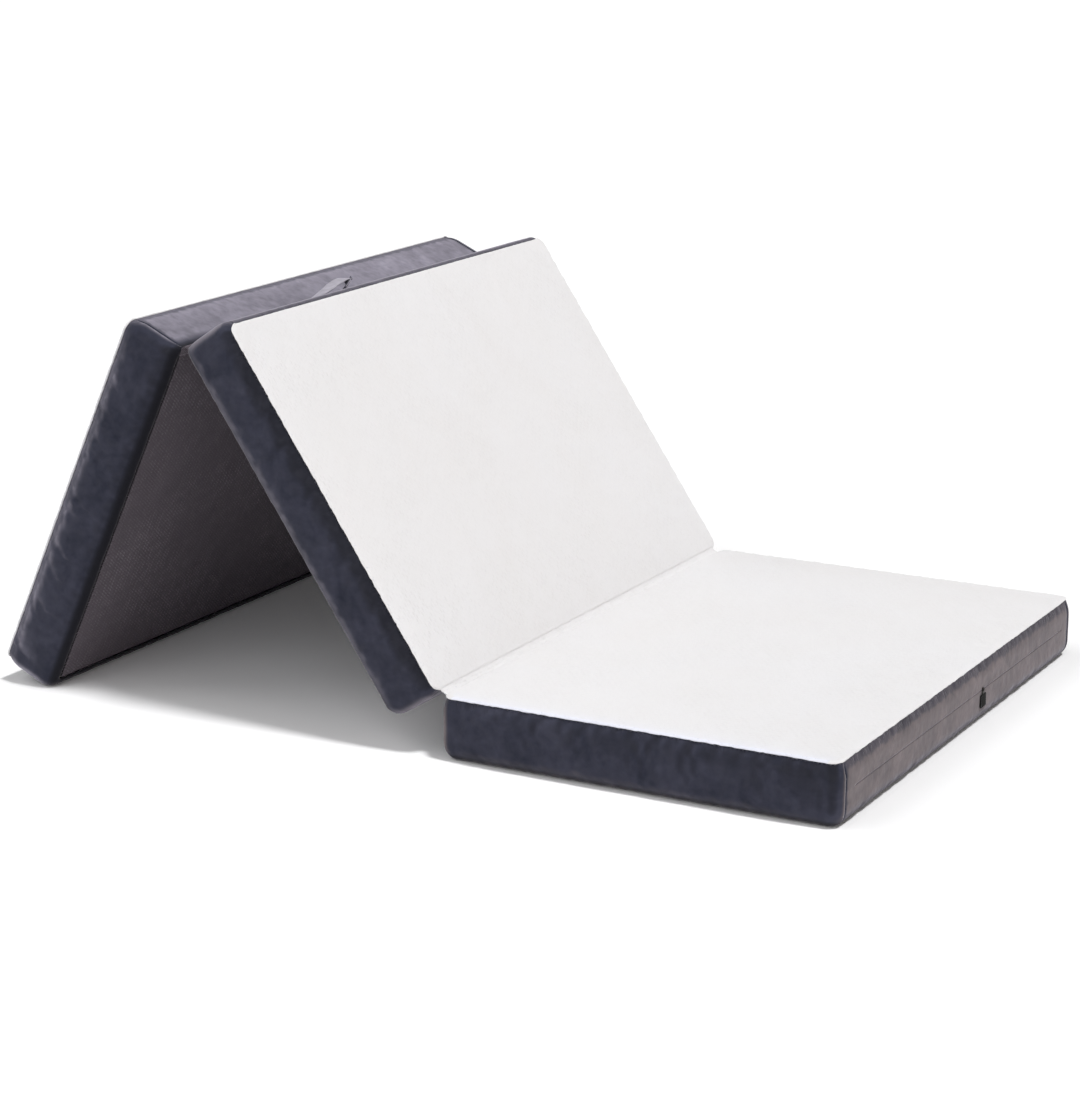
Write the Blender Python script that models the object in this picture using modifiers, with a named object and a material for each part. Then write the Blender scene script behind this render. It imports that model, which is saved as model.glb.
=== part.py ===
"""A folding mattress of three padded panels, set up with one panel flat and two as a tent.

Every panel is built lying flat, in the frame of the hinge that carries it, and the hinges are then
turned. Lengths are in metres and angles in radians. X runs along the mattress, Y across it, Z up.
"""

import math

import bmesh
import bpy
from mathutils import Vector

# Sizes of the whole mattress
PANEL_PITCH = 0.635
PANEL_WIDTH = 0.965
SEAM_HEIGHT = 0.096
CROWN = 0.004
PLAN_RADIUS = 0.020
LEAN_B = math.radians(55.8)

# Hinges: the axis stands clear of the panels' crowns and of their bulging ends
HINGE_CLEARANCE = 0.0008
HINGE_RISE = CROWN + HINGE_CLEARANCE
FABRIC_GAP = 0.0003

# Side wall of the cover, which leans in to the seams and curls under at free bottom edges
WALL = 0.003
FREE_SEAM_INSET = 0.0055
HINGE_SEAM_INSET = 0.004
CURL_INSET = 0.018
CURL_HEIGHT = 0.025
BELLY_TOP = 0.068
CURL_STEPS = 5
LEAN_STEPS = 4
CORNER_STEPS = 5
CORNER_PINCH_SHARE = 0.7

# Top and bottom of the cover
COVER_EDGE = 0.0025
CROWN_RUN = 0.150
CROWN_STEPS = 5
BOTTOM_THICKNESS = 0.003
BOTTOM_GROOVE = 0.0012

# Foam
TOPPER_THICKNESS = 0.025
FOAM_EASE = 0.0008

# Hinge cloths
HINGE_CLOTH = 0.0014
HINGE_CLOTH_LAP = 0.010
HINGE_CLOTH_STEPS = 8

# Zips
ZIP_HEIGHT = 0.052
ZIP_END_MARGIN = 0.050
ZIP_SLOT = 0.0034
ZIP_TAPE = 0.0014
ZIP_FLANGE_REACH = 0.0125
ZIP_STEP_NEAR = 0.0060
ZIP_STEP_FAR = 0.0075
ZIP_TAPE_OVERRUN = 0.006
SLIDER_LENGTH = 0.012
SLIDER_HEIGHT = 0.009
SLIDER_THICKNESS = 0.0022
SLIDER_ROUNDING = 0.0006
POST_RADIUS = 0.0012
HEAD_RADIUS = 0.0023
HEAD_THICKNESS = 0.0009
PULL_LENGTH = 0.028
PULL_TOP_RADIUS = 0.0038
PULL_END_RADIUS = 0.0032
PULL_THICKNESS = 0.0014
PULL_STANDOFF = 0.0004
RUNNING_GAP = 0.0003
SLIDER_STOP = 0.008
SLIDER_PLACE_A = 0.0675

# Carry handle on the middle panel's far end: a slack strap whose loop flops to one side
HANDLE_WIDTH = 0.026
HANDLE_THICKNESS = 0.0025
HANDLE_FOOT = 0.048
HANDLE_SPAN = 0.140
HANDLE_RISE = 0.032
HANDLE_CENTRE_Y = -0.153
HANDLE_HEIGHT = 0.050
HANDLE_TILT = math.radians(18)
# The loop from its front foot to its back one: share of the span, share of the rise
HANDLE_LOOP_SHARES = (
    (0.00, 0.00),
    (0.16, 0.14),
    (0.39, 0.40),
    (0.62, 0.63),
    (0.90, 0.86),
    (1.12, 0.98),
    (1.22, 0.98),
    (1.26, 0.87),
    (1.23, 0.66),
    (1.16, 0.42),
    (1.08, 0.26),
    (1.00, 0.17),
    (0.98, 0.05),
    (1.02, 0.00),
)
CORNER_CUT_SHARE = 0.25
CORNER_CUTS = 2

# Round counts and the overrun of the cutters
ROUND_STEPS = 20
OVERRUN = 0.004

# Worked out from the sizes above
PANEL_LENGTH = PANEL_PITCH - 2 * HINGE_CLEARANCE
COVER_BASE = SEAM_HEIGHT - COVER_EDGE
WALL_TOP = COVER_BASE - FABRIC_GAP
FOAM_TOP = COVER_BASE - FABRIC_GAP
FOAM_SPLIT = FOAM_TOP - TOPPER_THICKNESS
TAPE_FRONT = WALL + RUNNING_GAP
TAPE_RECESS = TAPE_FRONT + SLIDER_THICKNESS + RUNNING_GAP
ZIP_DEPTH = TAPE_RECESS + ZIP_TAPE
PULL_PROUD = PULL_STANDOFF + PULL_THICKNESS + RUNNING_GAP + HEAD_THICKNESS

# The four sides of a panel, in this order wherever sizes are given side by side
LOW, HIGH, FRONT, BACK = range(4)

PARTS = "folding_mattress"
CUTTERS = "cutters"


def clear_scene():
    for obj in list(bpy.data.objects):
        bpy.data.objects.remove(obj, do_unlink=True)


def new_collection(name):
    collection = bpy.data.collections.new(name)
    bpy.context.scene.collection.children.link(collection)
    return collection


def material(name, colour, roughness, metallic=0.0):
    made = bpy.data.materials.new(name)
    made.use_nodes = True
    shader = made.node_tree.nodes["Principled BSDF"]
    shader.inputs["Base Color"].default_value = (*colour, 1.0)
    shader.inputs["Roughness"].default_value = roughness
    shader.inputs["Metallic"].default_value = metallic
    made.diffuse_color = (*colour, 1.0)
    return made


def add(name, data, parent, finish, collection=PARTS):
    """A new object under this parent, in its collection and material."""
    obj = bpy.data.objects.new(name, data)
    bpy.data.collections[collection].objects.link(obj)
    obj.parent = parent
    if finish:
        obj.data.materials.append(finish)
    return obj


def add_empty(name, parent, location, turn=0.0):
    empty = bpy.data.objects.new(name, None)
    bpy.data.collections[PARTS].objects.link(empty)
    empty.empty_display_size = HANDLE_FOOT
    empty.parent = parent
    empty.location = location
    empty.rotation_euler = (0.0, turn, 0.0)
    return empty


def mesh_from(name, build):
    """A mesh made by this function in an empty bmesh."""
    mesh = bpy.data.meshes.new(name)
    bm = bmesh.new()
    build(bm)
    bmesh.ops.recalc_face_normals(bm, faces=bm.faces)
    bm.to_mesh(mesh)
    bm.free()
    mesh.shade_smooth()
    mesh.set_sharp_from_angle(angle=math.radians(40))
    return mesh


def solidify(obj, thickness, offset):
    shell = obj.modifiers.new("shell", "SOLIDIFY")
    shell.thickness = thickness
    shell.offset = offset
    shell.use_even_offset = True


def boolean(obj, other, operation):
    step = obj.modifiers.new(operation.lower(), "BOOLEAN")
    step.operation = operation
    step.solver = "EXACT"
    step.object = other
    other.hide_render = True
    other.display_type = "WIRE"


# The panel's side, from the bottom seam to the top seam


def wall_levels():
    """The side wall's rings: height, share of the bottom inset, share of the top inset."""
    levels = []
    for step in range(CURL_STEPS + 1):
        angle = math.radians(90) * (1 - step / CURL_STEPS)
        levels.append((CURL_HEIGHT * (1 - math.sin(angle)), 1 - math.cos(angle), 0.0))
    for step in range(LEAN_STEPS + 1):
        share = step / LEAN_STEPS
        levels.append((BELLY_TOP + (WALL_TOP - BELLY_TOP) * share, 0.0, share**2))
    return levels


def lean_share(height):
    """Share of the top inset at this height, on the same straight facets as the wall."""
    steps = (height - BELLY_TOP) / (WALL_TOP - BELLY_TOP) * LEAN_STEPS
    low = min(max(math.floor(steps), 0), LEAN_STEPS - 1)
    low_share = (low / LEAN_STEPS) ** 2
    high_share = ((low + 1) / LEAN_STEPS) ** 2
    return low_share + (high_share - low_share) * min(max(steps - low, 0.0), 1.0)


class Panel:
    """One panel's insets on its low X, high X, front and back sides, and its zip's side."""

    def __init__(self, letter, top_insets, bottom_insets, zip_side):
        self.letter = letter
        self.top_insets = top_insets
        self.bottom_insets = bottom_insets
        self.zip_side = zip_side

    def edges(self, bottom_share, top_share, set_in, behind_zip=0.0):
        """Low X, high X, front and back edge of the panel's outline at one level."""
        half_sizes = (PANEL_LENGTH / 2, PANEL_LENGTH / 2, PANEL_WIDTH / 2, PANEL_WIDTH / 2)
        edges = []
        for side, half in enumerate(half_sizes):
            inset = bottom_share * self.bottom_insets[side] + top_share * self.top_insets[side]
            inset += set_in + (behind_zip if side == self.zip_side else 0.0)
            edges.append(half - inset)
        return edges

    def ring(self, height, bottom_share, top_share, set_in=0.0, behind_zip=0.0):
        """Points of the outline at one level, anticlockwise from above."""
        low, high, front, back = self.edges(bottom_share, top_share, set_in, behind_zip)
        pinch = bottom_share * CURL_INSET + top_share * FREE_SEAM_INSET
        radius = PLAN_RADIUS - CORNER_PINCH_SHARE * pinch
        radius -= min(set_in, radius / 2)
        corners = ((high, back), (-low, back), (-low, -front), (high, -front))
        points = []
        for quarter, (x, y) in enumerate(corners):
            centre = Vector((x - math.copysign(radius, x), y - math.copysign(radius, y)))
            for step in range(CORNER_STEPS + 1):
                angle = math.radians(90) * (quarter + step / CORNER_STEPS)
                spoke = radius * Vector((math.cos(angle), math.sin(angle)))
                points.append((*(centre + spoke), height))
        return points


def loft(bm, rings, capped):
    """Skins the rings from the lowest to the highest, and closes both ends if capped."""
    loops = [[bm.verts.new(point) for point in ring] for ring in rings]
    for below, above in zip(loops, loops[1:]):
        for i in range(len(below)):
            j = (i + 1) % len(below)
            bm.faces.new((below[i], below[j], above[j], above[i]))
    if capped:
        bm.faces.new(loops[0][::-1])
        bm.faces.new(loops[-1])


def open_loft(name, rings):
    """A loft whose skin is open above and below, with its faces out."""
    mesh = bpy.data.meshes.new(name)
    bm = bmesh.new()
    loft(bm, rings, capped=False)
    bm.to_mesh(mesh)
    bm.free()
    mesh.shade_smooth()
    return mesh


def ribbon(name, path, width, thickness, parent, finish):
    """A strap: a curve through the path's points in the local XY plane, widened along Z."""
    curve = bpy.data.curves.new(name, "CURVE")
    curve.dimensions = "2D"
    curve.fill_mode = "NONE"
    curve.extrude = width / 2
    spline = curve.splines.new("POLY")
    spline.points.add(len(path) - 1)
    for point, (x, y) in zip(spline.points, path):
        point.co = (x, y, 0.0, 1.0)
    obj = add(name, curve, parent, finish)
    solidify(obj, thickness, 0.0)
    return obj


# Pieces of one panel


def make_wall(panel, seat, finish):
    rings = [panel.ring(*level) for level in wall_levels()]
    name = f"cover_border_{panel.letter}"
    wall = add(name, open_loft(name, rings), seat, finish)
    solidify(wall, WALL, -1.0)
    return wall


def make_top(panel, seat, finish):
    """The sleeping surface: an edge that sits on the wall, crowned towards the middle."""
    rings = [panel.ring(COVER_BASE, 0.0, 1.0), panel.ring(SEAM_HEIGHT, 0.0, 1.0)]
    for step in range(1, CROWN_STEPS + 1):
        run_share = (step / CROWN_STEPS) ** 2
        rise = CROWN * (1 - (1 - run_share) ** 3)
        rings.append(panel.ring(SEAM_HEIGHT + rise, 0.0, 1.0, CROWN_RUN * run_share))
    name = f"cover_top_{panel.letter}"
    add(name, mesh_from(name, lambda bm: loft(bm, rings, capped=True)), seat, finish)


def make_bottom(panel, seat, finish):
    set_in = WALL + BOTTOM_GROOVE
    rings = [panel.ring(height, 1.0, 0.0, set_in) for height in (0.0, BOTTOM_THICKNESS)]
    name = f"cover_bottom_{panel.letter}"
    add(name, mesh_from(name, lambda bm: loft(bm, rings, capped=True)), seat, finish)


def make_foams(panel, seat, support_finish, comfort_finish):
    """Two blocks that follow the wall's inside, set back behind the zip."""
    set_in = WALL + FOAM_EASE
    behind_zip = ZIP_DEPTH + RUNNING_GAP - set_in
    support = []
    for height, bottom_share, top_share in wall_levels()[: CURL_STEPS + 1]:
        support.append(
            panel.ring(height + set_in, bottom_share, top_share, set_in, behind_zip)
        )
    for height in (BELLY_TOP, FOAM_SPLIT):
        support.append(panel.ring(height, 0.0, lean_share(height), set_in, behind_zip))
    comfort = []
    heights = [FOAM_SPLIT + FABRIC_GAP]
    heights += [level[0] for level in wall_levels() if level[0] > FOAM_SPLIT + set_in]
    for height in heights:
        comfort.append(panel.ring(height, 0.0, lean_share(height), set_in, behind_zip))
    for kind, rings, finish in (
        ("support", support, support_finish),
        ("comfort", comfort, comfort_finish),
    ):
        name = f"foam_{kind}_{panel.letter}"
        mesh = mesh_from(name, lambda bm, rings=rings: loft(bm, rings, capped=True))
        add(name, mesh, seat, finish)


def zip_seat(panel, seat):
    """An empty on the wall at the zip: X out of the wall, Y along the zip, Z up the wall."""
    outward = {
        HIGH: (PANEL_LENGTH / 2, 0.0, 0.0),
        LOW: (-PANEL_LENGTH / 2, 0.0, math.radians(180)),
        BACK: (0.0, PANEL_WIDTH / 2, math.radians(90)),
    }
    x, y, turn = outward[panel.zip_side]
    empty = add_empty(f"zip_seat_{panel.letter}", seat, (x, y, ZIP_HEIGHT))
    empty.rotation_euler = (0.0, 0.0, turn)
    return empty


def zip_length(panel):
    across = PANEL_WIDTH if panel.zip_side in (LOW, HIGH) else PANEL_LENGTH
    return across - 2 * ZIP_END_MARGIN


def make_zip(panel, seat, wall, slider_place, pull_turn, tape_finish, metal):
    """A concealed zip: a slot in the wall, two tapes behind it, the slider and its pull."""
    base = zip_seat(panel, seat)
    length = zip_length(panel)
    letter = panel.letter

    box = bpy.data.meshes.new(f"zip_slot_{letter}")
    bm = bmesh.new()
    bmesh.ops.create_cube(bm, size=1.0)
    bmesh.ops.scale(bm, vec=(WALL + 2 * OVERRUN, length, ZIP_SLOT), verts=bm.verts)
    bmesh.ops.translate(bm, vec=(-WALL / 2, 0.0, 0.0), verts=bm.verts)
    bm.to_mesh(box)
    bm.free()
    boolean(wall, add(f"zip_slot_{letter}", box, base, None, CUTTERS), "DIFFERENCE")

    back = TAPE_RECESS + ZIP_TAPE / 2
    front = TAPE_FRONT + ZIP_TAPE / 2
    for kind, side in (("upper", 1), ("lower", -1)):
        path = [
            (-back, side * RUNNING_GAP / 2),
            (-back, side * ZIP_STEP_NEAR),
            (-front, side * ZIP_STEP_FAR),
            (-front, side * ZIP_FLANGE_REACH),
        ]
        tape = ribbon(
            f"zip_tape_{kind}_{letter}",
            path,
            length + 2 * ZIP_TAPE_OVERRUN,
            ZIP_TAPE,
            base,
            tape_finish,
        )
        tape.rotation_euler = (math.radians(90), 0.0, 0.0)

    slide = add_empty(f"zip_{letter}", base, (0.0, slider_place, 0.0))
    make_slider(letter, slide, metal)
    swing = add_empty(f"pull_{letter}", slide, (0.0, 0.0, 0.0))
    swing.rotation_euler = (pull_turn, 0.0, 0.0)
    make_pull(letter, swing, metal)


def make_slider(letter, slide, metal):
    """A plate that runs behind the wall, with a headed post through the slot."""
    plate = bpy.data.meshes.new(f"zip_slider_{letter}")
    bm = bmesh.new()
    bmesh.ops.create_cube(bm, size=1.0)
    size = (SLIDER_THICKNESS, SLIDER_LENGTH, SLIDER_HEIGHT)
    bmesh.ops.scale(bm, vec=size, verts=bm.verts)
    middle = -WALL - RUNNING_GAP - SLIDER_THICKNESS / 2
    bmesh.ops.translate(bm, vec=(middle, 0.0, 0.0), verts=bm.verts)
    bmesh.ops.bevel(
        bm, geom=list(bm.edges), offset=SLIDER_ROUNDING, segments=2, affect="EDGES", profile=0.5
    )
    bm.to_mesh(plate)
    bm.free()
    slider = add(f"zip_slider_{letter}", plate, slide, metal)

    neck = PULL_PROUD - HEAD_THICKNESS
    profile = (
        (0.0, PULL_PROUD),
        (HEAD_RADIUS, PULL_PROUD),
        (HEAD_RADIUS, neck),
        (POST_RADIUS, neck),
        (POST_RADIUS, middle),
        (0.0, middle),
    )
    stud = bpy.data.meshes.new(f"zip_stud_{letter}")
    stud.from_pydata(
        [(radius, 0.0, height) for radius, height in profile],
        [(i, i + 1) for i in range(len(profile) - 1)],
        [],
    )
    turned = add(f"zip_stud_{letter}", stud, slide, None, CUTTERS)
    turned.rotation_euler = (0.0, math.radians(90), 0.0)
    screw = turned.modifiers.new("turned", "SCREW")
    screw.steps = ROUND_STEPS
    screw.render_steps = ROUND_STEPS
    screw.use_merge_vertices = True
    screw.merge_threshold = 0.00001
    boolean(slider, turned, "UNION")


def make_pull(letter, swing, metal):
    """A flat tab whose eye turns on the post, hanging to -Z."""
    eye = POST_RADIUS + RUNNING_GAP
    low = PULL_TOP_RADIUS + PULL_END_RADIUS - PULL_LENGTH
    outline = []
    half_steps = ROUND_STEPS // 2
    for step in range(half_steps + 1):
        angle = math.radians(180) * step / half_steps
        outline.append((PULL_TOP_RADIUS * math.cos(angle), PULL_TOP_RADIUS * math.sin(angle)))
    for step in range(half_steps + 1):
        angle = math.radians(180) * (1 + step / half_steps)
        outline.append(
            (PULL_END_RADIUS * math.cos(angle), low + PULL_END_RADIUS * math.sin(angle))
        )
    hole = []
    for step in range(ROUND_STEPS):
        angle = math.radians(360) * step / ROUND_STEPS
        hole.append((eye * math.cos(angle), eye * math.sin(angle)))
    curve = bpy.data.curves.new(f"zip_pull_{letter}", "CURVE")
    curve.dimensions = "2D"
    curve.fill_mode = "BOTH"
    curve.extrude = PULL_THICKNESS / 2
    for points in (outline, hole):
        spline = curve.splines.new("POLY")
        spline.points.add(len(points) - 1)
        spline.use_cyclic_u = True
        for point, (x, y) in zip(spline.points, points):
            point.co = (x, y, 0.0, 1.0)
    pull = add(f"zip_pull_{letter}", curve, swing, metal)
    pull.location = (PULL_STANDOFF + PULL_THICKNESS / 2, 0.0, 0.0)
    pull.rotation_euler = (math.radians(90), 0.0, math.radians(90))


# Pieces between the panels, and the handle


def turned_point(point, angle):
    """A point in the XZ plane after a turn about the Y axis."""
    x, z = point
    return (
        x * math.cos(angle) + z * math.sin(angle),
        z * math.cos(angle) - x * math.sin(angle),
    )


def bend(start, start_turned, corner):
    """A smooth curve between two points, pulled towards a corner between them."""
    points = []
    for step in range(HINGE_CLOTH_STEPS + 1):
        t = step / HINGE_CLOTH_STEPS
        points.append(
            tuple(
                (1 - t) ** 2 * a + 2 * t * (1 - t) * c + t**2 * b
                for a, b, c in zip(start, start_turned, corner)
            )
        )
    return points


def make_hinge_cloths(fold_ab, fold_bc, fold, top_finish, bottom_finish):
    """Strips sewn to the top seams of A and B, and under the seams of B and C."""
    length = PANEL_WIDTH - 2 * PLAN_RADIUS

    # In the frame of the A and B hinge with A flat: the seams lie at HINGE_RISE below the axis
    depth = HINGE_RISE + COVER_EDGE / 2
    reach = HINGE_CLEARANCE + HINGE_SEAM_INSET - FABRIC_GAP
    start = (reach, -depth)
    end = turned_point((-reach, -depth), LEAN_B)
    corner = (-depth * math.tan(LEAN_B / 2), -depth)
    still = add_empty("hinge_ab_seat", fold_ab, (0.0, 0.0, 0.0))
    path = bend(start, end, corner)
    upper = ribbon("hinge_cloth_ab", path, length, HINGE_CLOTH, still, top_finish)
    upper.rotation_euler = (math.radians(90), 0.0, 0.0)

    # In the frame of the middle panel at the B and C hinge: the seams lie above the axis
    depth = HINGE_RISE - FABRIC_GAP - HINGE_CLOTH / 2
    start = (HINGE_CLEARANCE + HINGE_SEAM_INSET, depth)
    lap = (start[0] + HINGE_CLOTH_LAP, depth)
    end = turned_point((-start[0], depth), -fold)
    end_lap = turned_point((-lap[0], depth), -fold)
    corner = (-depth * math.tan(fold / 2), depth)
    still = add_empty("hinge_bc_seat", fold_bc, (0.0, 0.0, 0.0))
    path = [lap, *bend(start, end, corner), end_lap]
    lower = ribbon("hinge_cloth_bc", path, length, HINGE_CLOTH, still, bottom_finish)
    lower.rotation_euler = (math.radians(90), 0.0, 0.0)


def smoothed(path):
    """The path with its corners cut off a few times over, between ends that stay."""
    for _ in range(CORNER_CUTS):
        cut = [path[0]]
        for start, end in zip(path, path[1:]):
            cut.append(start.lerp(end, CORNER_CUT_SHARE))
            cut.append(start.lerp(end, 1 - CORNER_CUT_SHARE))
        path = [*cut, path[-1]]
    return path


def strap_section(middle, run, tilt):
    """Corners of the strap where its middle line passes, with -X out of the panel's end."""
    outward = Vector((-run.x, -run.y, 0.0))
    across = Vector((0.0, 0.0, 1.0))
    wide = (across * math.cos(tilt) - outward * math.sin(tilt)) * HANDLE_WIDTH / 2
    thick = (outward * math.cos(tilt) + across * math.sin(tilt)) * HANDLE_THICKNESS / 2
    centre = Vector((-middle.y, middle.x, 0.0))
    return [centre + wide + thick, centre - wide + thick, centre - wide - thick, centre + wide - thick]


def make_handle(seat, finish):
    """A strap with two sewn feet, its loop leaning over the back foot and tilted at its crest."""
    clear = FABRIC_GAP + HANDLE_THICKNESS / 2
    path = [Vector((-HANDLE_SPAN / 2 - HANDLE_FOOT, clear))]
    for along_share, rise_share in HANDLE_LOOP_SHARES:
        path.append(Vector((HANDLE_SPAN * (along_share - 1 / 2), clear + HANDLE_RISE * rise_share)))
    path.append(Vector((HANDLE_SPAN / 2 + HANDLE_FOOT, clear)))
    path = smoothed(path)
    sections = []
    for i, middle in enumerate(path):
        run = (path[min(i + 1, len(path) - 1)] - path[max(i - 1, 0)]).normalized()
        tilt = HANDLE_TILT * (middle.y - clear) / HANDLE_RISE
        sections.append(strap_section(middle, run, tilt))
    base = add_empty("handle_seat", seat, (-PANEL_LENGTH / 2, HANDLE_CENTRE_Y, HANDLE_HEIGHT))
    strap = mesh_from("carry_handle", lambda bm: loft(bm, sections, capped=True))
    add("carry_handle", strap, base, finish)


# The folded shape


def foot_outline():
    """The free end of the last panel, as X and Z from its hinge axis with the panel flat."""
    end = -HINGE_CLEARANCE - PANEL_LENGTH
    points = []
    for height, bottom_share, top_share in wall_levels():
        inset = bottom_share * CURL_INSET + top_share * FREE_SEAM_INSET
        points.append((end + inset, HINGE_RISE + height))
    points.append((end + FREE_SEAM_INSET, HINGE_RISE + SEAM_HEIGHT))
    return points


def hinge_bc_place():
    """X and Z of the hinge of B and C from the hinge of A and B, with B leaning."""
    return turned_point((-PANEL_PITCH, -(SEAM_HEIGHT + 2 * HINGE_RISE)), LEAN_B)


def lean_of_c():
    """The lean at which the last panel's foot just meets the floor, found by halving."""
    axis_height = SEAM_HEIGHT + HINGE_RISE + hinge_bc_place()[1]
    low, high = math.radians(20), math.radians(88)
    for _ in range(60):
        lean = (low + high) / 2
        foot = min(turned_point(point, -lean)[1] for point in foot_outline())
        if axis_height + foot > 0.0:
            low = lean
        else:
            high = lean
    return (low + high) / 2


def main():
    clear_scene()
    new_collection(PARTS)
    new_collection(CUTTERS)

    knit = material("white_knit", (0.80, 0.79, 0.79), 0.85)
    velvet = material("slate_velvet", (0.045, 0.048, 0.065), 0.75)
    ribbed = material("ribbed_bottom_cloth", (0.075, 0.065, 0.075), 0.9)
    firm_foam = material("support_foam", (0.85, 0.83, 0.70), 0.95)
    soft_foam = material("comfort_foam", (0.55, 0.68, 0.80), 0.95)
    tape_finish = material("zip_tape_cloth", (0.03, 0.03, 0.04), 0.8)
    metal = material("dark_zip_metal", (0.05, 0.045, 0.04), 0.4, 0.8)

    lean_c = lean_of_c()
    bc_x, _ = hinge_bc_place()
    foot_x = bc_x + min(turned_point(point, -lean_c)[0] for point in foot_outline())
    end_x = HINGE_CLEARANCE + PANEL_LENGTH + PULL_PROUD
    middle_x = (foot_x + end_x) / 2

    stand = add_empty("stand", None, (-middle_x, -PULL_PROUD / 2, 0.0))
    axis_height = SEAM_HEIGHT + HINGE_RISE
    hinge_ab = add_empty("hinge_ab", stand, (0.0, 0.0, axis_height))
    fold_ab = add_empty("fold_ab", hinge_ab, (0.0, 0.0, 0.0), LEAN_B)
    bc_place = (-PANEL_PITCH, 0.0, -(SEAM_HEIGHT + 2 * HINGE_RISE))
    hinge_bc = add_empty("hinge_bc", fold_ab, bc_place)
    fold_bc = add_empty("fold_bc", hinge_bc, (0.0, 0.0, 0.0), -(LEAN_B + lean_c))

    reach = HINGE_CLEARANCE + PANEL_LENGTH / 2
    seats = {
        "a": add_empty("panel_a", hinge_ab, (reach, 0.0, -axis_height)),
        "b": add_empty("panel_b", fold_ab, (-reach, 0.0, -axis_height)),
        "c": add_empty("panel_c", fold_bc, (-reach, 0.0, HINGE_RISE)),
    }
    free, sewn, curled = FREE_SEAM_INSET, HINGE_SEAM_INSET, CURL_INSET
    panels = (
        Panel("a", (sewn, free, free, free), (curled, curled, curled, curled), HIGH),
        Panel("b", (free, sewn, free, free), (sewn, curled, curled, curled), BACK),
        Panel("c", (free, free, free, free), (curled, sewn, curled, curled), LOW),
    )
    # The first slider is part of the way along, the others are parked at a closed end
    across = PANEL_WIDTH / 2 - ZIP_END_MARGIN - SLIDER_STOP
    along = PANEL_LENGTH / 2 - ZIP_END_MARGIN - SLIDER_STOP
    slider_places = {"a": SLIDER_PLACE_A, "b": -along, "c": across}
    pull_turns = {"a": 0.0, "b": -LEAN_B, "c": 0.0}
    for panel in panels:
        seat = seats[panel.letter]
        wall = make_wall(panel, seat, velvet)
        make_top(panel, seat, knit)
        make_bottom(panel, seat, ribbed)
        make_foams(panel, seat, firm_foam, soft_foam)
        make_zip(
            panel,
            seat,
            wall,
            slider_places[panel.letter],
            pull_turns[panel.letter],
            tape_finish,
            metal,
        )
    make_hinge_cloths(hinge_ab, hinge_bc, LEAN_B + lean_c, knit, ribbed)
    make_handle(seats["b"], velvet)

    bpy.context.view_layer.update()
    for name in ("hinge_ab", "hinge_bc", "handle_seat", "panel_a", "panel_b", "panel_c"):
        print(name, [round(v, 6) for v in bpy.data.objects[name].matrix_world.translation])
    for panel in panels:
        seat = bpy.data.objects[f"zip_{panel.letter}"].matrix_world
        print(f"zip_{panel.letter}", [round(v, 6) for v in seat.translation])
        print("  out of the wall", [round(v, 6) for v in seat.col[0].to_3d()])
        print("  along the zip", [round(v, 6) for v in seat.col[1].to_3d()])
    print("lean of b and c", round(math.degrees(LEAN_B), 4), round(math.degrees(lean_c), 4))


main()
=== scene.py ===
import math

import bpy
import numpy as np
from mathutils import Matrix, Vector


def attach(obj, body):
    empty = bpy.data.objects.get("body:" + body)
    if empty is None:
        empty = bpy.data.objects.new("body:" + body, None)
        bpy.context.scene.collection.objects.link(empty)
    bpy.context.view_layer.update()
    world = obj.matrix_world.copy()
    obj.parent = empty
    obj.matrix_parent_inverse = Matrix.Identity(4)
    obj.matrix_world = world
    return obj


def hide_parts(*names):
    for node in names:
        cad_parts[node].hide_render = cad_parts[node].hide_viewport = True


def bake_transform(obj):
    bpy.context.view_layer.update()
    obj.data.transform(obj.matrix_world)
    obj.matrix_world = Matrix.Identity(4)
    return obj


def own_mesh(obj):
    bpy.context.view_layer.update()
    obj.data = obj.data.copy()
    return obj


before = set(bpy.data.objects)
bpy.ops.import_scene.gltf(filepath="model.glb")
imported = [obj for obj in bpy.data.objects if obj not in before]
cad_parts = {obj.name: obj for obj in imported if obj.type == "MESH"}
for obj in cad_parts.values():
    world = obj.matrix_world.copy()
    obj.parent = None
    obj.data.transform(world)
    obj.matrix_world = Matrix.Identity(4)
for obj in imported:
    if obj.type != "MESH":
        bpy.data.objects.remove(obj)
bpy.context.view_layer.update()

# The mattress, in metres: the same sizes as its solids
PANEL_LENGTH = 0.6334
PANEL_WIDTH = 0.965
SEAM_HEIGHT = 0.096
SEAM_LINE = 0.0935
CROWN = 0.004
PLAN_RADIUS = 0.020
HINGE_RISE = 0.0048
HINGE_CLEARANCE = 0.0008
FREE_INSET = 0.0055
SEWN_INSET = 0.004
RIDGE_INSET = 0.0125
CURL_INSET = 0.018
CURL_HEIGHT = 0.025
BELLY_TOP = 0.068
PINCH = 0.7
LEAN_B = math.radians(55.8)
LEAN_C = math.radians(65.2792)
HINGE_AB = (0.080772, -0.0015, 0.1008)
HINGE_BC = (-0.36349, -0.0015, 0.56664)
FLOOR_GAP = 0.0001
LOW, HIGH, FRONT, BACK = range(4)

# Cover
CLOTH = 0.0022
ZIP_HEIGHT = 0.052
ZIP_MARGIN = 0.050
LIP = 0.00013
FREE_BULGE = 0.0052
ZIP_BULGE = 0.0012
SEWN_BULGE = 0.0003
SIDE_CREASE = 0.0010
TOP_CREASE = 0.00035
COVER_PRESSURE = 4.0
COVER_SHRINK = -0.012
COVER_FRAMES = 20
# How much the knit gathers along the front seam, and how strong the painted highlight on its front edge is
# there
GATHERS_AND_HIGHLIGHT = {"a": 1.0, "b": 0.0, "c": 0.2}
CORNER_SEAM = 0.0016
ROLL_HEIGHT = 0.0953
ROW = 0.0012

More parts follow.
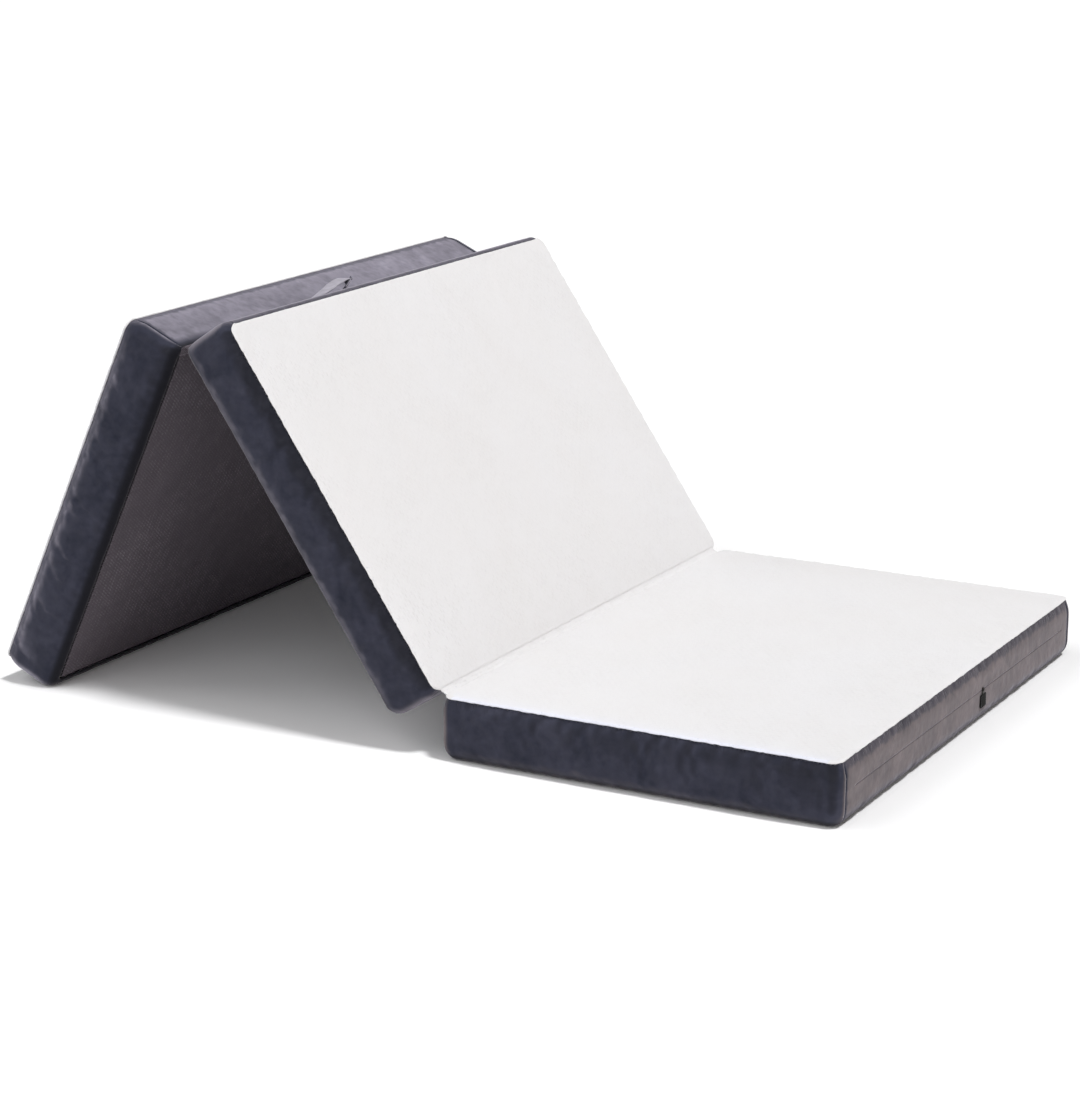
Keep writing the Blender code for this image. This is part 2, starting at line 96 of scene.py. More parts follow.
# Foam
FOAM_INSET = 0.0038
ZIP_RECESS = 0.0072
FOAM_SPLIT = 0.0682
FOAM_GAP = 0.0003
FOAM_EDGE = 0.003

# Hinge cloths
CREASE_THICKNESS = 0.0012
RIDGE_THICKNESS = 0.0013

# Handle
HANDLE_WIDTH = 0.026
HANDLE_THICKNESS = 0.0025
HANDLE_FOOT = 0.048
HANDLE_SPAN = 0.140
HANDLE_RISE = 0.0215
HANDLE_CENTRE_Y = -0.153
HANDLE_HEIGHT = 0.050
HANDLE_TILT = math.radians(30)
HANDLE_LOOP = (
    (0.00, 0.00), (0.20, 0.04), (0.42, 0.22), (0.64, 0.50), (0.83, 0.80), (0.98, 0.98), (1.09, 1.02),
    (1.16, 0.93), (1.15, 0.70), (1.07, 0.44), (0.96, 0.24), (0.90, 0.11), (0.92, 0.02), (1.02, 0.00),
)

# Camera, fitted to the panels' corners
PHOTO_HEIGHT = 1105
FOCUS = 2953.3
SENSOR = 36
CAMERA_PLACE = (2.172472, -4.0106, 1.4031)
CAMERA_TURN = math.radians(118.596)
CAMERA_TILT = math.radians(-14.884)
CAMERA_ROLL = math.radians(0.051)


# Materials


class Graph:
    """Adds nodes to a tree and joins them."""

    def __init__(self, tree):
        self.tree = tree

    def join(self, value, socket):
        """Gives a socket its value, or a link from another socket."""
        if isinstance(value, bpy.types.NodeSocket):
            self.tree.links.new(value, socket)
        else:
            socket.default_value = value

    def add(self, kind, inputs=None, **settings):
        made = self.tree.nodes.new(kind)
        for key, value in settings.items():
            setattr(made, key, value)
        for key, value in (inputs or {}).items():
            self.join(value, made.inputs[key])
        return made

    def math(self, operation, *values, clamp=False):
        inputs = dict(enumerate(values))
        return self.add("ShaderNodeMath", inputs, operation=operation, use_clamp=clamp).outputs[0]

    def times(self, a, b):
        return self.math("MULTIPLY", a, b)

    def plus(self, a, b, clamp=False):
        return self.math("ADD", a, b, clamp=clamp)

    def minus(self, a, b, clamp=False):
        return self.math("SUBTRACT", a, b, clamp=clamp)

    def over(self, a, b):
        return self.math("DIVIDE", a, b)

    def parts(self, vector):
        """The X, Y and Z of a vector."""
        return self.add("ShaderNodeSeparateXYZ", {"Vector": vector}).outputs

    def vector(self, operation, *values):
        return self.add("ShaderNodeVectorMath", dict(enumerate(values)), operation=operation).outputs[0]

    def mix(self, factor, a, b):
        """A colour between a and b."""
        made = self.add("ShaderNodeMix", data_type="RGBA", clamp_factor=True)
        for index, value in ((0, factor), (6, a), (7, b)):
            self.join((*value, 1.0) if isinstance(value, tuple) else value, made.inputs[index])
        return made.outputs[2]

    def span(self, value, low, high, to_low=0.0, to_high=1.0, smooth=False):
        """The value carried from one range into another, and held at its ends."""
        kind = "SMOOTHSTEP" if smooth else "LINEAR"
        inputs = {"Value": value, "From Min": low, "From Max": high, "To Min": to_low, "To Max": to_high}
        return self.add("ShaderNodeMapRange", inputs, interpolation_type=kind).outputs[0]

    def noise(self, vector, size, detail=3.0, rough=0.5, distortion=0.0):
        inputs = {"Vector": vector, "Scale": 1 / size, "Detail": detail, "Roughness": rough}
        return self.add("ShaderNodeTexNoise", {**inputs, "Distortion": distortion}).outputs["Fac"]


def shader_group(name, output, build, **inputs):
    """A node group with one output. An input is a number, or a vector where it is a tuple."""
    tree = bpy.data.node_groups.new(name, "ShaderNodeTree")
    for label, value in inputs.items():
        kind = "NodeSocketVector" if isinstance(value, tuple) else "NodeSocketFloat"
        socket = tree.interface.new_socket(label.replace("_", " "), in_out="INPUT", socket_type=kind)
        socket.default_value = value
    tree.interface.new_socket(output, in_out="OUTPUT", socket_type="NodeSocketFloat")
    graph = Graph(tree)
    given = graph.add("NodeGroupInput").outputs
    graph.add("NodeGroupOutput", {output: build(graph, given)})
    return tree


def build_clouds(graph, given):
    """Soft uneven patches of two sizes, from 0 to 1 about a half."""
    place, scale = given["Vector"], given["Scale"]
    broad = graph.add("ShaderNodeTexNoise", {
        "Vector": place, "Scale": scale, "Detail": 3.0, "Roughness": 0.55, "Distortion": 0.7})
    fine = graph.add("ShaderNodeTexNoise", {
        "Vector": place, "Scale": graph.times(scale, 4.3), "Detail": 2.0, "Roughness": 0.5})
    both = graph.plus(graph.times(broad.outputs["Fac"], 0.68), graph.times(fine.outputs["Fac"], 0.32))
    value = graph.times(graph.minus(both, 0.5), given["Contrast"])
    return graph.plus(value, 0.5, clamp=True)


def build_weave(graph, given):
    """Threads over and under each other: rows along U and V with their own pitch, leaned by a slope."""
    split = graph.parts(given["Vector"])
    leaned = graph.plus(split[0], graph.times(split[1], given["Slope"]))
    along = graph.times(graph.over(leaned, given["Pitch U"]), math.tau)
    across = graph.times(graph.over(split[1], given["Pitch V"]), math.tau)
    ribs = graph.plus(graph.times(graph.math("SINE", along), 0.5), 0.5)
    turns = graph.plus(graph.times(graph.math("SINE", across), 0.5), 0.5)
    return graph.times(ribs, graph.plus(graph.times(turns, 0.6), 0.4))


def build_dots(graph, given):
    """Small dashes in staggered rows, some of them faint."""
    split = graph.parts(given["Vector"])
    row = graph.over(split[1], given["Pitch V"])
    row_number = graph.math("FLOOR", row)
    shift = graph.times(graph.math("MODULO", row_number, 2.0), 0.5)
    place = graph.plus(graph.over(split[0], given["Pitch U"]), shift)
    number = graph.math("FLOOR", place)
    cell = graph.add("ShaderNodeCombineXYZ", {0: number, 1: row_number}).outputs[0]
    chance = graph.add("ShaderNodeTexWhiteNoise", {"Vector": cell}, noise_dimensions="2D").outputs
    centred = graph.vector("SUBTRACT", chance["Color"], (0.5, 0.5, 0.5))
    move = graph.parts(graph.vector("MULTIPLY", centred, (0.42, 0.42, 0.0)))
    u = graph.minus(graph.math("FRACT", place), graph.plus(0.5, move[0]))
    v = graph.minus(graph.math("FRACT", row), graph.plus(0.5, move[1]))
    u = graph.over(graph.times(u, given["Pitch U"]), given["Length"])
    v = graph.over(graph.times(v, given["Pitch V"]), given["Width"])
    away = graph.plus(graph.times(u, u), graph.times(v, v))
    mark = graph.minus(1.0, away, clamp=True)
    return graph.times(mark, graph.span(chance["Value"], 0.0, 0.8, smooth=True))


def build_gathers(graph, given):
    """Short creases that run into a seam, strongest at the seam itself; the materials dent them and paint
    shade into them.
    """
    stretched = graph.vector("MULTIPLY", given["Vector"], given["Stretch"])
    creases = graph.noise(stretched, 0.0045, detail=2.0, distortion=0.5)
    deep = graph.span(creases, 0.54, 0.74, smooth=True)
    near = graph.times(given["Seam"], given["Seam"])
    return graph.times(deep, near)


NOWHERE = (0.0, 0.0, 0.0)
CLOUDS = shader_group("Uneven patches", "Value", build_clouds, Vector=NOWHERE, Scale=18.0, Contrast=1.0)
WEAVE = shader_group(
    "Threads", "Height", build_weave, Vector=NOWHERE, Pitch_U=0.003, Pitch_V=0.003, Slope=0.0)
DOTS = shader_group(
    "Dashes in rows", "Mark", build_dots,
    Vector=NOWHERE, Pitch_U=0.012, Pitch_V=0.009, Length=0.002, Width=0.001)
GATHERS = shader_group(
    "Creases at a seam", "Crease", build_gathers, Vector=NOWHERE, Stretch=(1.0, 0.3, 1.0), Seam=0.0)


class Finish:
    """A material being made: its shader, and the cloth's own coordinates."""

    def __init__(self, name, **constants):
        self.material = bpy.data.materials.new(name)
        self.material.use_nodes = True
        tree = self.material.node_tree
        self.graph = Graph(tree)
        self.shader = tree.nodes["Principled BSDF"]
        for label, value in constants.items():
            self.shader.inputs[label.replace("_", " ")].default_value = value
        self.place = self.graph.add("ShaderNodeTexCoord").outputs["Object"]
        self.cloth = self.graph.add("ShaderNodeUVMap", uv_map="cloth").outputs[0]
        self.seam = self.graph.add("ShaderNodeAttribute", attribute_name="seam").outputs["Fac"]
        # This mark carries painted light: shade at the wall's bottom curl, in the corner grooves, at the
        # twill's edge and on the strap's inner side, and the knit's front highlight
        self.painted_light = self.graph.add("ShaderNodeAttribute", attribute_name="painted_light").outputs["Fac"]

    def group(self, tree, **inputs):
        named = {label.replace("_", " "): value for label, value in inputs.items()}
        return self.graph.add("ShaderNodeGroup", named, node_tree=tree).outputs[0]

    def clouds(self, size, contrast=1.0):
        return self.group(CLOUDS, Vector=self.place, Scale=1 / size, Contrast=contrast)

    def creases(self, **more):
        return self.group(GATHERS, Vector=self.cloth, Seam=self.seam, **more)

    def close(self, colour, roughness, *heights):
        """Joins the colour, the roughness and the (height, distance) pairs to the shader."""
        bumped = {}
        for height, distance in heights:
            bump = self.graph.add("ShaderNodeBump", {"Height": height, "Distance": distance, **bumped})
            bumped = {"Normal": bump.outputs[0]}
        for label, value in {"Base Color": colour, "Roughness": roughness, **bumped}.items():
            self.graph.join(value, self.shader.inputs[label])
        return self.material


def white_knit():
    f = Finish("white knit", Sheen_Weight=0.2, Sheen_Roughness=0.5, Specular_IOR_Level=0.2)
    g = f.graph
    loops = f.group(WEAVE, Vector=f.cloth, Pitch_U=0.0014, Pitch_V=0.0011)
    dashes = f.group(DOTS, Vector=f.cloth, Pitch_U=0.0118, Pitch_V=0.0066, Length=0.0050, Width=0.0014)
    shown = g.span(g.noise(f.cloth, 0.16, detail=2.0), 0.36, 0.62, 0.50, 1.0, smooth=True)
    dashes = g.times(dashes, shown)
    crease = f.creases(Stretch=(1.0, 1.0, 1.0))
    colour = g.mix(f.clouds(0.35, 1.6), (0.785, 0.770, 0.764), (0.802, 0.798, 0.808))
    # A knit pattern of dents, painted slightly darker as shade in them
    colour = g.mix(g.times(dashes, 0.10), colour, (0.50, 0.46, 0.44))
    spot = g.parts(f.cloth)
    leaned = g.plus(spot[0], g.times(spot[1], 0.43))
    along = g.add("ShaderNodeCombineXYZ", {0: leaned, 1: g.times(spot[1], 0.14)}).outputs[0]
    streaks = g.noise(along, 0.0030, detail=2.0)
    streaks = g.times(g.span(streaks, 0.42, 0.72), g.span(g.noise(f.place, 0.20), 0.40, 0.62, 0.45, 1.0))
    colour = g.mix(g.times(streaks, 0.06), colour, (0.58, 0.56, 0.58))
    colour = g.mix(g.times(loops, 0.05), colour, (0.57, 0.55, 0.55))
    # Painted highlight: the front edge is painted a brighter bluish white, as strong as the panel's value
    colour = g.mix(g.times(f.painted_light, 0.75), colour, (0.80, 0.82, 0.92))
    # Painted shade in the creases
    colour = g.mix(g.times(crease, 0.55), colour, (0.46, 0.47, 0.58))
    rough = g.span(f.clouds(0.05), 0.0, 1.0, 0.78, 0.95)
    return f.close(
        colour, rough, (loops, 0.00012), (g.times(dashes, -1.0), 0.0006), (streaks, 0.00014),
        (g.times(crease, -1.0), 0.0009))


def slate_velvet(name, deep, pale, lift=1.0, painted_rim_share=0.30):
    """Navy seen face on, near black where it faces the view squarely, and a painted sheen from deep to pale
    where it is seen at a slant, with a painted rim highlight and painted shade at the seams, the hem and the
    creases.
    """
    f = Finish(
        name, Sheen_Weight=0.5, Sheen_Roughness=0.35, Sheen_Tint=(0.76, 0.73, 0.80, 1.0),
        Specular_IOR_Level=0.15,
    )
    g = f.graph
    patches = f.clouds(0.062, 2.6)
    wide = f.clouds(0.15, 2.4)
    nap = g.noise(f.place, 0.0013, detail=2.0)
    soft = g.noise(f.place, 0.013, detail=1.5, distortion=0.5)
    crease = f.creases()

    def shade(*values):
        return tuple(lift * v for v in values)

    face_on = g.mix(patches, shade(0.0115, 0.0135, 0.0255), shade(0.050, 0.051, 0.074))
    along = g.mix(patches, shade(*deep), shade(*pale))
    along = g.mix(g.times(wide, 0.40), along, shade(*(0.35 * a + 0.6 * b for a, b in zip(deep, pale))))
    # Painted sheen: the colour follows the angle at which the surface is seen
    layer = g.add("ShaderNodeLayerWeight", {"Blend": 0.5}).outputs["Facing"]
    # Less painted sheen at the seams, along a scalloped line, and at the hem: painted shade there
    scallop = g.span(g.plus(f.seam, g.times(g.minus(soft, 0.5), 0.7)), 0.22, 0.62, smooth=True)
    held = g.times(g.minus(1.0, g.times(scallop, 0.62)), g.span(f.painted_light, 0.30, 0.80, 1.0, 0.12))
    sheen = g.times(g.span(layer, 0.26, 0.66, smooth=True), held)
    # Painted shade: near black where the surface faces the view squarely
    colour = g.mix(g.span(layer, 0.03, 0.15), shade(0.013, 0.0135, 0.020), face_on)
    colour = g.mix(sheen, colour, along)
    plain = g.times(g.minus(1.0, f.painted_light), g.minus(1.0, f.seam))
    # Painted rim highlight near the outline
    rim = g.times(g.span(layer, 0.74, 0.93, 0.0, painted_rim_share, smooth=True), plain)
    colour = g.mix(rim, colour, shade(0.340, 0.325, 0.400))
    colour = g.mix(g.span(soft, 0.45, 0.75, 0.0, 0.22), colour, shade(0.040, 0.040, 0.052))
    # Painted shade, near black, at the bottom curl, the corner grooves and the strap's inner side
    colour = g.mix(g.span(f.painted_light, 0.72, 0.985, 0.0, 0.94, smooth=True), colour, (0.005, 0.005, 0.008))
    # Painted shade in the creases
    colour = g.mix(g.times(crease, 0.45), colour, (0.008, 0.008, 0.013))
    rough = g.span(patches, 0.0, 1.0, 0.70, 0.95)
    return f.close(
        colour, rough, (patches, 0.0008), (soft, 0.00012), (nap, 0.00006), (g.times(crease, -1.0), 0.0006))


def twill_cloth():
    f = Finish("dark twill cloth", Sheen_Weight=0.5, Sheen_Roughness=0.45, Sheen_Tint=(0.72, 0.62, 0.72, 1.0),
               Specular_IOR_Level=0.2)
    g = f.graph
    lines = f.group(WEAVE, Vector=f.cloth, Pitch_U=0.0054, Pitch_V=0.009, Slope=0.728)
    fine = f.group(WEAVE, Vector=f.cloth, Pitch_U=0.0012, Pitch_V=0.0012)
    broken = g.span(g.noise(f.cloth, 0.012, detail=2.0), 0.38, 0.62, 0.25, 1.0, smooth=True)
    shown = g.span(g.noise(f.place, 0.13, detail=2.0), 0.38, 0.60, 0.40, 1.0, smooth=True)
    ribs = g.times(g.times(lines, broken), shown)
    crease = f.creases()
    colour = g.mix(f.clouds(0.12, 1.8), (0.044, 0.038, 0.045), (0.070, 0.060, 0.070))
    colour = g.mix(g.times(ribs, 0.85), colour, (0.150, 0.134, 0.148))
    # Painted shade at the edge, in the groove along the seam
    colour = g.mix(f.painted_light, colour, (0.012, 0.011, 0.014))
    # Painted shade in the creases
    colour = g.mix(g.times(crease, 0.6), colour, (0.012, 0.010, 0.014))
    rough = g.span(ribs, 0.0, 1.0, 0.92, 0.72)
    return f.close(colour, rough, (ribs, 0.0009), (fine, 0.00015), (g.times(crease, -1.0), 0.0012))


def foam_finish(name, low, high, cell):
    f = Finish(name, Specular_IOR_Level=0.15)
    g = f.graph
    cells = g.add("ShaderNodeTexVoronoi", {"Vector": f.place, "Scale": 1 / cell}).outputs["Distance"]
    pits = g.span(cells, 0.15, 0.6, smooth=True)
    colour = g.mix(f.clouds(0.08, 1.5), low, high)
    # Painted shade in the pits
    colour = g.mix(g.times(pits, 0.22), colour, tuple(v * 0.55 for v in low))
    rough = g.span(f.clouds(0.03), 0.0, 1.0, 0.85, 0.97)
    return f.close(colour, rough, (g.times(pits, -1.0), 0.0005))


def tape_cloth():
    f = Finish("zip tape cloth", Sheen_Weight=0.3, Sheen_Roughness=0.5, Specular_IOR_Level=0.3)
    g = f.graph
    threads = f.group(WEAVE, Vector=f.cloth, Pitch_U=0.0011, Pitch_V=0.0008)
    colour = g.mix(f.clouds(0.03), (0.022, 0.022, 0.028), (0.036, 0.036, 0.044))
    colour = g.mix(g.times(threads, 0.5), colour, (0.060, 0.058, 0.066))
    rough = g.span(threads, 0.0, 1.0, 0.85, 0.6)
    return f.close(colour, rough, (threads, 0.0003))


def worn_metal():
    f = Finish("dark zip metal", Metallic=0.85, Specular_IOR_Level=0.5)
    g = f.graph
    worn = g.span(f.clouds(0.004, 2.0), 0.55, 0.85, smooth=True)
    scratches = g.noise(g.vector("MULTIPLY", f.place, (1.0, 0.3, 3.0)), 0.0012, detail=4.0, rough=0.7)
    colour = g.mix(worn, (0.030, 0.027, 0.024), (0.115, 0.105, 0.092))
    colour = g.mix(g.span(scratches, 0.55, 0.75, 0.0, 0.4), colour, (0.15, 0.14, 0.13))
    rough = g.span(scratches, 0.3, 0.7, 0.34, 0.55)
    return f.close(colour, rough, (scratches, 0.00008), (worn, 0.0001))


def thread_finish(name, low, high, sheen=0.3, gloss=0.35):
    f = Finish(name, Sheen_Weight=sheen, Sheen_Roughness=0.4, Specular_IOR_Level=gloss)
    g = f.graph
    twist = g.noise(g.vector("MULTIPLY", f.place, (1.0, 1.0, 2.0)), 0.0011, detail=2.0)
    colour = g.mix(g.span(twist, 0.3, 0.7), low, high)
    rough = g.span(twist, 0.3, 0.7, 0.55, 0.8)
    return f.close(colour, rough, (twist, 0.0002))


KNIT = white_knit()
# Lit and shaded copies of one velvet: A's has a warmer painted sheen, C's a brighter and bluer painted sheen,
# B's a stronger painted rim highlight along the ridge
VELVETS = {
    "a": slate_velvet("slate velvet, painted warm sheen", (0.078, 0.067, 0.068), (0.190, 0.158, 0.156)),
    "b": slate_velvet("slate velvet", (0.118, 0.107, 0.125), (0.262, 0.242, 0.280), painted_rim_share=0.65),
    "c": slate_velvet("slate velvet, painted brighter sheen", (0.150, 0.142, 0.172), (0.345, 0.325, 0.390)),
}
STRAP_VELVET = slate_velvet("strap velvet", (0.260, 0.248, 0.285), (0.420, 0.400, 0.450), 1.25)
TWILL = twill_cloth()
FIRM_FOAM = foam_finish("support foam", (0.80, 0.77, 0.60), (0.88, 0.86, 0.72), 0.0024)
SOFT_FOAM = foam_finish("comfort foam", (0.46, 0.58, 0.70), (0.60, 0.70, 0.80), 0.0018)
TAPE = tape_cloth()
METAL = worn_metal()
TAB_CLOTH = thread_finish(
    "dark tab cloth", (0.007, 0.007, 0.007), (0.020, 0.020, 0.018), sheen=0.0, gloss=0.05)
DARK_THREAD = thread_finish("slate thread", (0.030, 0.030, 0.042), (0.085, 0.082, 0.100))
COIL = thread_finish("zip coil", (0.020, 0.020, 0.026), (0.060, 0.058, 0.066))


# Smooth uneven values and small helpers


def uneven(points, size, seed):
    """A smooth random value from -1 to 1 at each point, with patches of this size."""
    table = np.random.default_rng(seed).uniform(-1, 1, (32, 32, 32))
    place = np.asarray(points, float) / np.asarray(size, float) + 500.0
    cell = np.floor(place).astype(int)
    part = place - cell
    part = part * part * (3 - 2 * part)
    total = 0.0
    for corner in range(8):
        step = np.array([corner & 1, corner >> 1 & 1, corner >> 2 & 1])
        weight = np.prod(np.where(step, part, 1 - part), axis=-1)
        spot = (cell + step) % 32
        total = total + weight * table[spot[..., 0], spot[..., 1], spot[..., 2]]
    return total


def ease(value, low, high):
    """0 below low, 1 above high, smooth between."""
    share = np.clip((np.asarray(value, float) - low) / (high - low), 0, 1)
    return share * share * (3 - 2 * share)


def parts(points):
    """The X, Y and Z of points."""
    return np.moveaxis(np.asarray(points, float), -1, 0)


def turned(points, angle):
    """Points after a turn about the Y axis."""
    x, y, z = parts(points)
    cosine, sine = math.cos(angle), math.sin(angle)
    return np.stack((x * cosine + z * sine, y, z * cosine - x * sine), axis=-1)


def gaps(path):
    """The distance from each point of a path to the next."""
    return np.linalg.norm(np.diff(path, axis=0), axis=1)


def so_far(steps):
    """The distance covered before each step, and after the last."""
    return np.concatenate(([0.0], np.cumsum(steps)))


def put(name, data):
    """A new object in the scene, at the origin."""
    obj = bpy.data.objects.new(name, data)
    bpy.context.scene.collection.objects.link(obj)
    return obj


class Skin:
    """A mesh in the making, with the cloth's own coordinates on its faces."""

    def __init__(self):
        self.points, self.marks, self.faces, self.uvs = [], {"seam": [], "painted_light": []}, [], []
        self.count = 0

    def add(self, points, seam=0.0, painted_light=0.0):
        points = np.asarray(points, float).reshape(-1, 3)
        first = self.count
        self.points.append(points)
        for label, value in (("seam", seam), ("painted_light", painted_light)):
            self.marks[label].append(np.broadcast_to(np.asarray(value, float).ravel(), (len(points),)))
        self.count += len(points)
        return first + np.arange(len(points))

    def quads(self, corners, uvs):
        """Faces from an array of four corners each, and the cloth's coordinates of each corner."""
        self.faces += np.asarray(corners).reshape(-1, 4).tolist()
        self.uvs.append(np.asarray(uvs, float).reshape(-1, 2))

    def cap(self, ids, reverse=False):
        ids = list(ids)[::-1] if reverse else list(ids)
        self.faces.append([int(i) for i in ids])
        points = np.concatenate(self.points)
        self.uvs.append(points[ids][:, :2])

    def band(self, below, above, s, v_below, v_above, flip=False, keep=None):
        """Faces between two closed rings of the same count, or only the ones to keep. s runs along the
        rings, with one value more than they have points."""
        i = np.arange(len(below)) if keep is None else np.nonzero(keep)[0]
        j = (i + 1) % len(below)
        corners = np.stack((below[i], below[j], above[j], above[i]), axis=1)
        uvs = np.empty((len(i), 4, 2))
        uvs[:, (0, 3), 0] = s[i][:, None]
        uvs[:, (1, 2), 0] = s[i + 1][:, None]
        uvs[:, :2, 1] = v_below
        uvs[:, 2:, 1] = v_above
        if flip:
            corners, uvs = corners[:, ::-1], uvs[:, ::-1]
        self.quads(corners, uvs)

    def fill(self, grid, edge, points, seam, painted_light=0.0, down=False):
        """A sheet over a grid, inside a ring that is there already."""
        number = np.empty((grid.nx + 1, grid.ny + 1), int)
        number[grid.i, grid.j] = edge
        inside = (slice(1, -1), slice(1, -1))
        added = self.add(points[inside], seam[inside], np.broadcast_to(painted_light, seam.shape)[inside])
        number[inside] = added.reshape(number[inside].shape)
        order = ((0, 0), (0, 1), (1, 1), (1, 0)) if down else ((0, 0), (1, 0), (1, 1), (0, 1))

        def around(values):
            return np.stack([values[i:grid.nx + i, j:grid.ny + j] for i, j in order], axis=2)

        self.quads(around(number), around(points[..., :2]))

    def piece(self, name, finish, place, smooth=True):
        """The finished object, its place in its mesh."""
        mesh = bpy.data.meshes.new(name)
        mesh.from_pydata(place(np.concatenate(self.points)).tolist(), [], self.faces)
        layer = mesh.uv_layers.new(name="cloth")
        layer.data.foreach_set("uv", np.concatenate(self.uvs).astype(np.float32).ravel())
        for label, values in self.marks.items():
            attribute = mesh.attributes.new(label, "FLOAT", "POINT")
            attribute.data.foreach_set("value", np.concatenate(values).astype(np.float32))
        if smooth:
            mesh.shade_smooth()
        mesh.materials.append(finish)
        mesh.validate()
        return put(name, mesh)


def dress(obj, body, slot, *nodes, fill=None):
    """Says what the piece rides on, and hides the parts that it stands for."""
    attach(obj, body)
    if nodes:
        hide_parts(*nodes)


# Things repeated along a path


def path_tree():
    tree = bpy.data.node_groups.new("Stitches along a path", "GeometryNodeTree")
    face = tree.interface
    face.new_socket("Geometry", in_out="INPUT", socket_type="NodeSocketGeometry")
    kinds = dict.fromkeys(("Pitch", "Length", "Width", "Height", "Variation"), "Float")
    for label, kind in {**kinds, "Seed": "Int", "Finish": "Material"}.items():
        face.new_socket(label, in_out="INPUT", socket_type=f"NodeSocket{kind}")
    face.new_socket("Geometry", in_out="OUTPUT", socket_type="NodeSocketGeometry")
    g = Graph(tree)
    given = g.add("NodeGroupInput").outputs
    curve = g.add("GeometryNodeMeshToCurve", {"Mesh": given["Geometry"]}).outputs[0]
    spaced = {"Curve": curve, "Length": given["Pitch"]}
    even = g.add("GeometryNodeResampleCurve", spaced, mode="LENGTH").outputs[0]
    tangent = g.add("GeometryNodeInputTangent").outputs[0]
    turn = g.add("FunctionNodeAlignRotationToVector", {"Vector": tangent}, axis="X").outputs[0]
    least = g.minus(1.0, given["Variation"])
    most = g.plus(1.0, given["Variation"])
    chance = g.add("FunctionNodeRandomValue", data_type="FLOAT")
    for label, value in (("Min", least), ("Max", most), ("Seed", given["Seed"])):
        socket = [s for s in chance.inputs if s.name == label and s.enabled][0]
        tree.links.new(value, socket)
    vary = [s for s in chance.outputs if s.enabled][0]
    scales = {0: g.times(given["Length"], vary), 1: given["Width"], 2: given["Height"]}
    size = g.add("ShaderNodeCombineXYZ", scales).outputs[0]
    bead = g.add("GeometryNodeMeshUVSphere", {"Segments": 6, "Rings": 4, "Radius": 0.5}).outputs[0]
    inputs = {"Points": even, "Instance": bead, "Rotation": turn, "Scale": size}
    placed = g.add("GeometryNodeInstanceOnPoints", inputs).outputs[0]
    real = g.add("GeometryNodeRealizeInstances", {"Geometry": placed}).outputs[0]
    smooth = g.add("GeometryNodeSetShadeSmooth", {"Geometry": real}).outputs[0]
    done = g.add("GeometryNodeSetMaterial", {"Geometry": smooth, "Material": given["Finish"]}).outputs[0]
    g.add("NodeGroupOutput", {0: done})
    return tree


STITCHES = path_tree()


def stitched(name, paths, finish, place, seed, pitch=0.005, length=0.0036, width=0.0010, height=0.0009,
             variation=0.12):
    """Small rounded stitches or teeth along these paths, as one plain mesh."""
    points, edges = [], []
    for path in paths:
        first = len(points)
        points += [tuple(p) for p in path]
        edges += [(first + i, first + i + 1) for i in range(len(path) - 1)]
    mesh = bpy.data.meshes.new(f"{name}_path")
    mesh.from_pydata(points, edges, [])
    guide = put(f"{name}_path", mesh)
    modifier = guide.modifiers.new("stitches", "NODES")
    modifier.node_group = STITCHES
    values = {
        "Pitch": pitch, "Length": length, "Width": width, "Height": height, "Variation": variation,
        "Seed": seed, "Finish": finish,
    }
    for item in STITCHES.interface.items_tree:
        if item.in_out == "INPUT" and item.name in values:
            modifier[item.identifier] = values[item.name]
    depsgraph = bpy.context.evaluated_depsgraph_get()
    made = bpy.data.meshes.new_from_object(guide.evaluated_get(depsgraph), depsgraph=depsgraph)
    bpy.data.objects.remove(guide, do_unlink=True)
    made.name = name
    spots = np.empty(len(made.vertices) * 3, np.float32)
    made.vertices.foreach_get("co", spots)
    made.vertices.foreach_set("co", place(spots.reshape(-1, 3)).astype(np.float32).ravel())
    made.update()
    return put(name, made)


# The panel's outline as the edge of a grid


def spread(cells, fine=()):
    """Places from 0 to 1 between the corners: even steps, with finer ones asked for at each end."""
    even = np.linspace(0, 1, cells + 1)[1:-1]
    extra = np.concatenate((np.array(fine, float), 1 - np.array(fine, float)))
    if len(fine):
        even = even[(even > max(fine) * 1.15) & (even < 1 - max(fine) * 1.15)]
    return np.unique(np.concatenate((even, extra)))


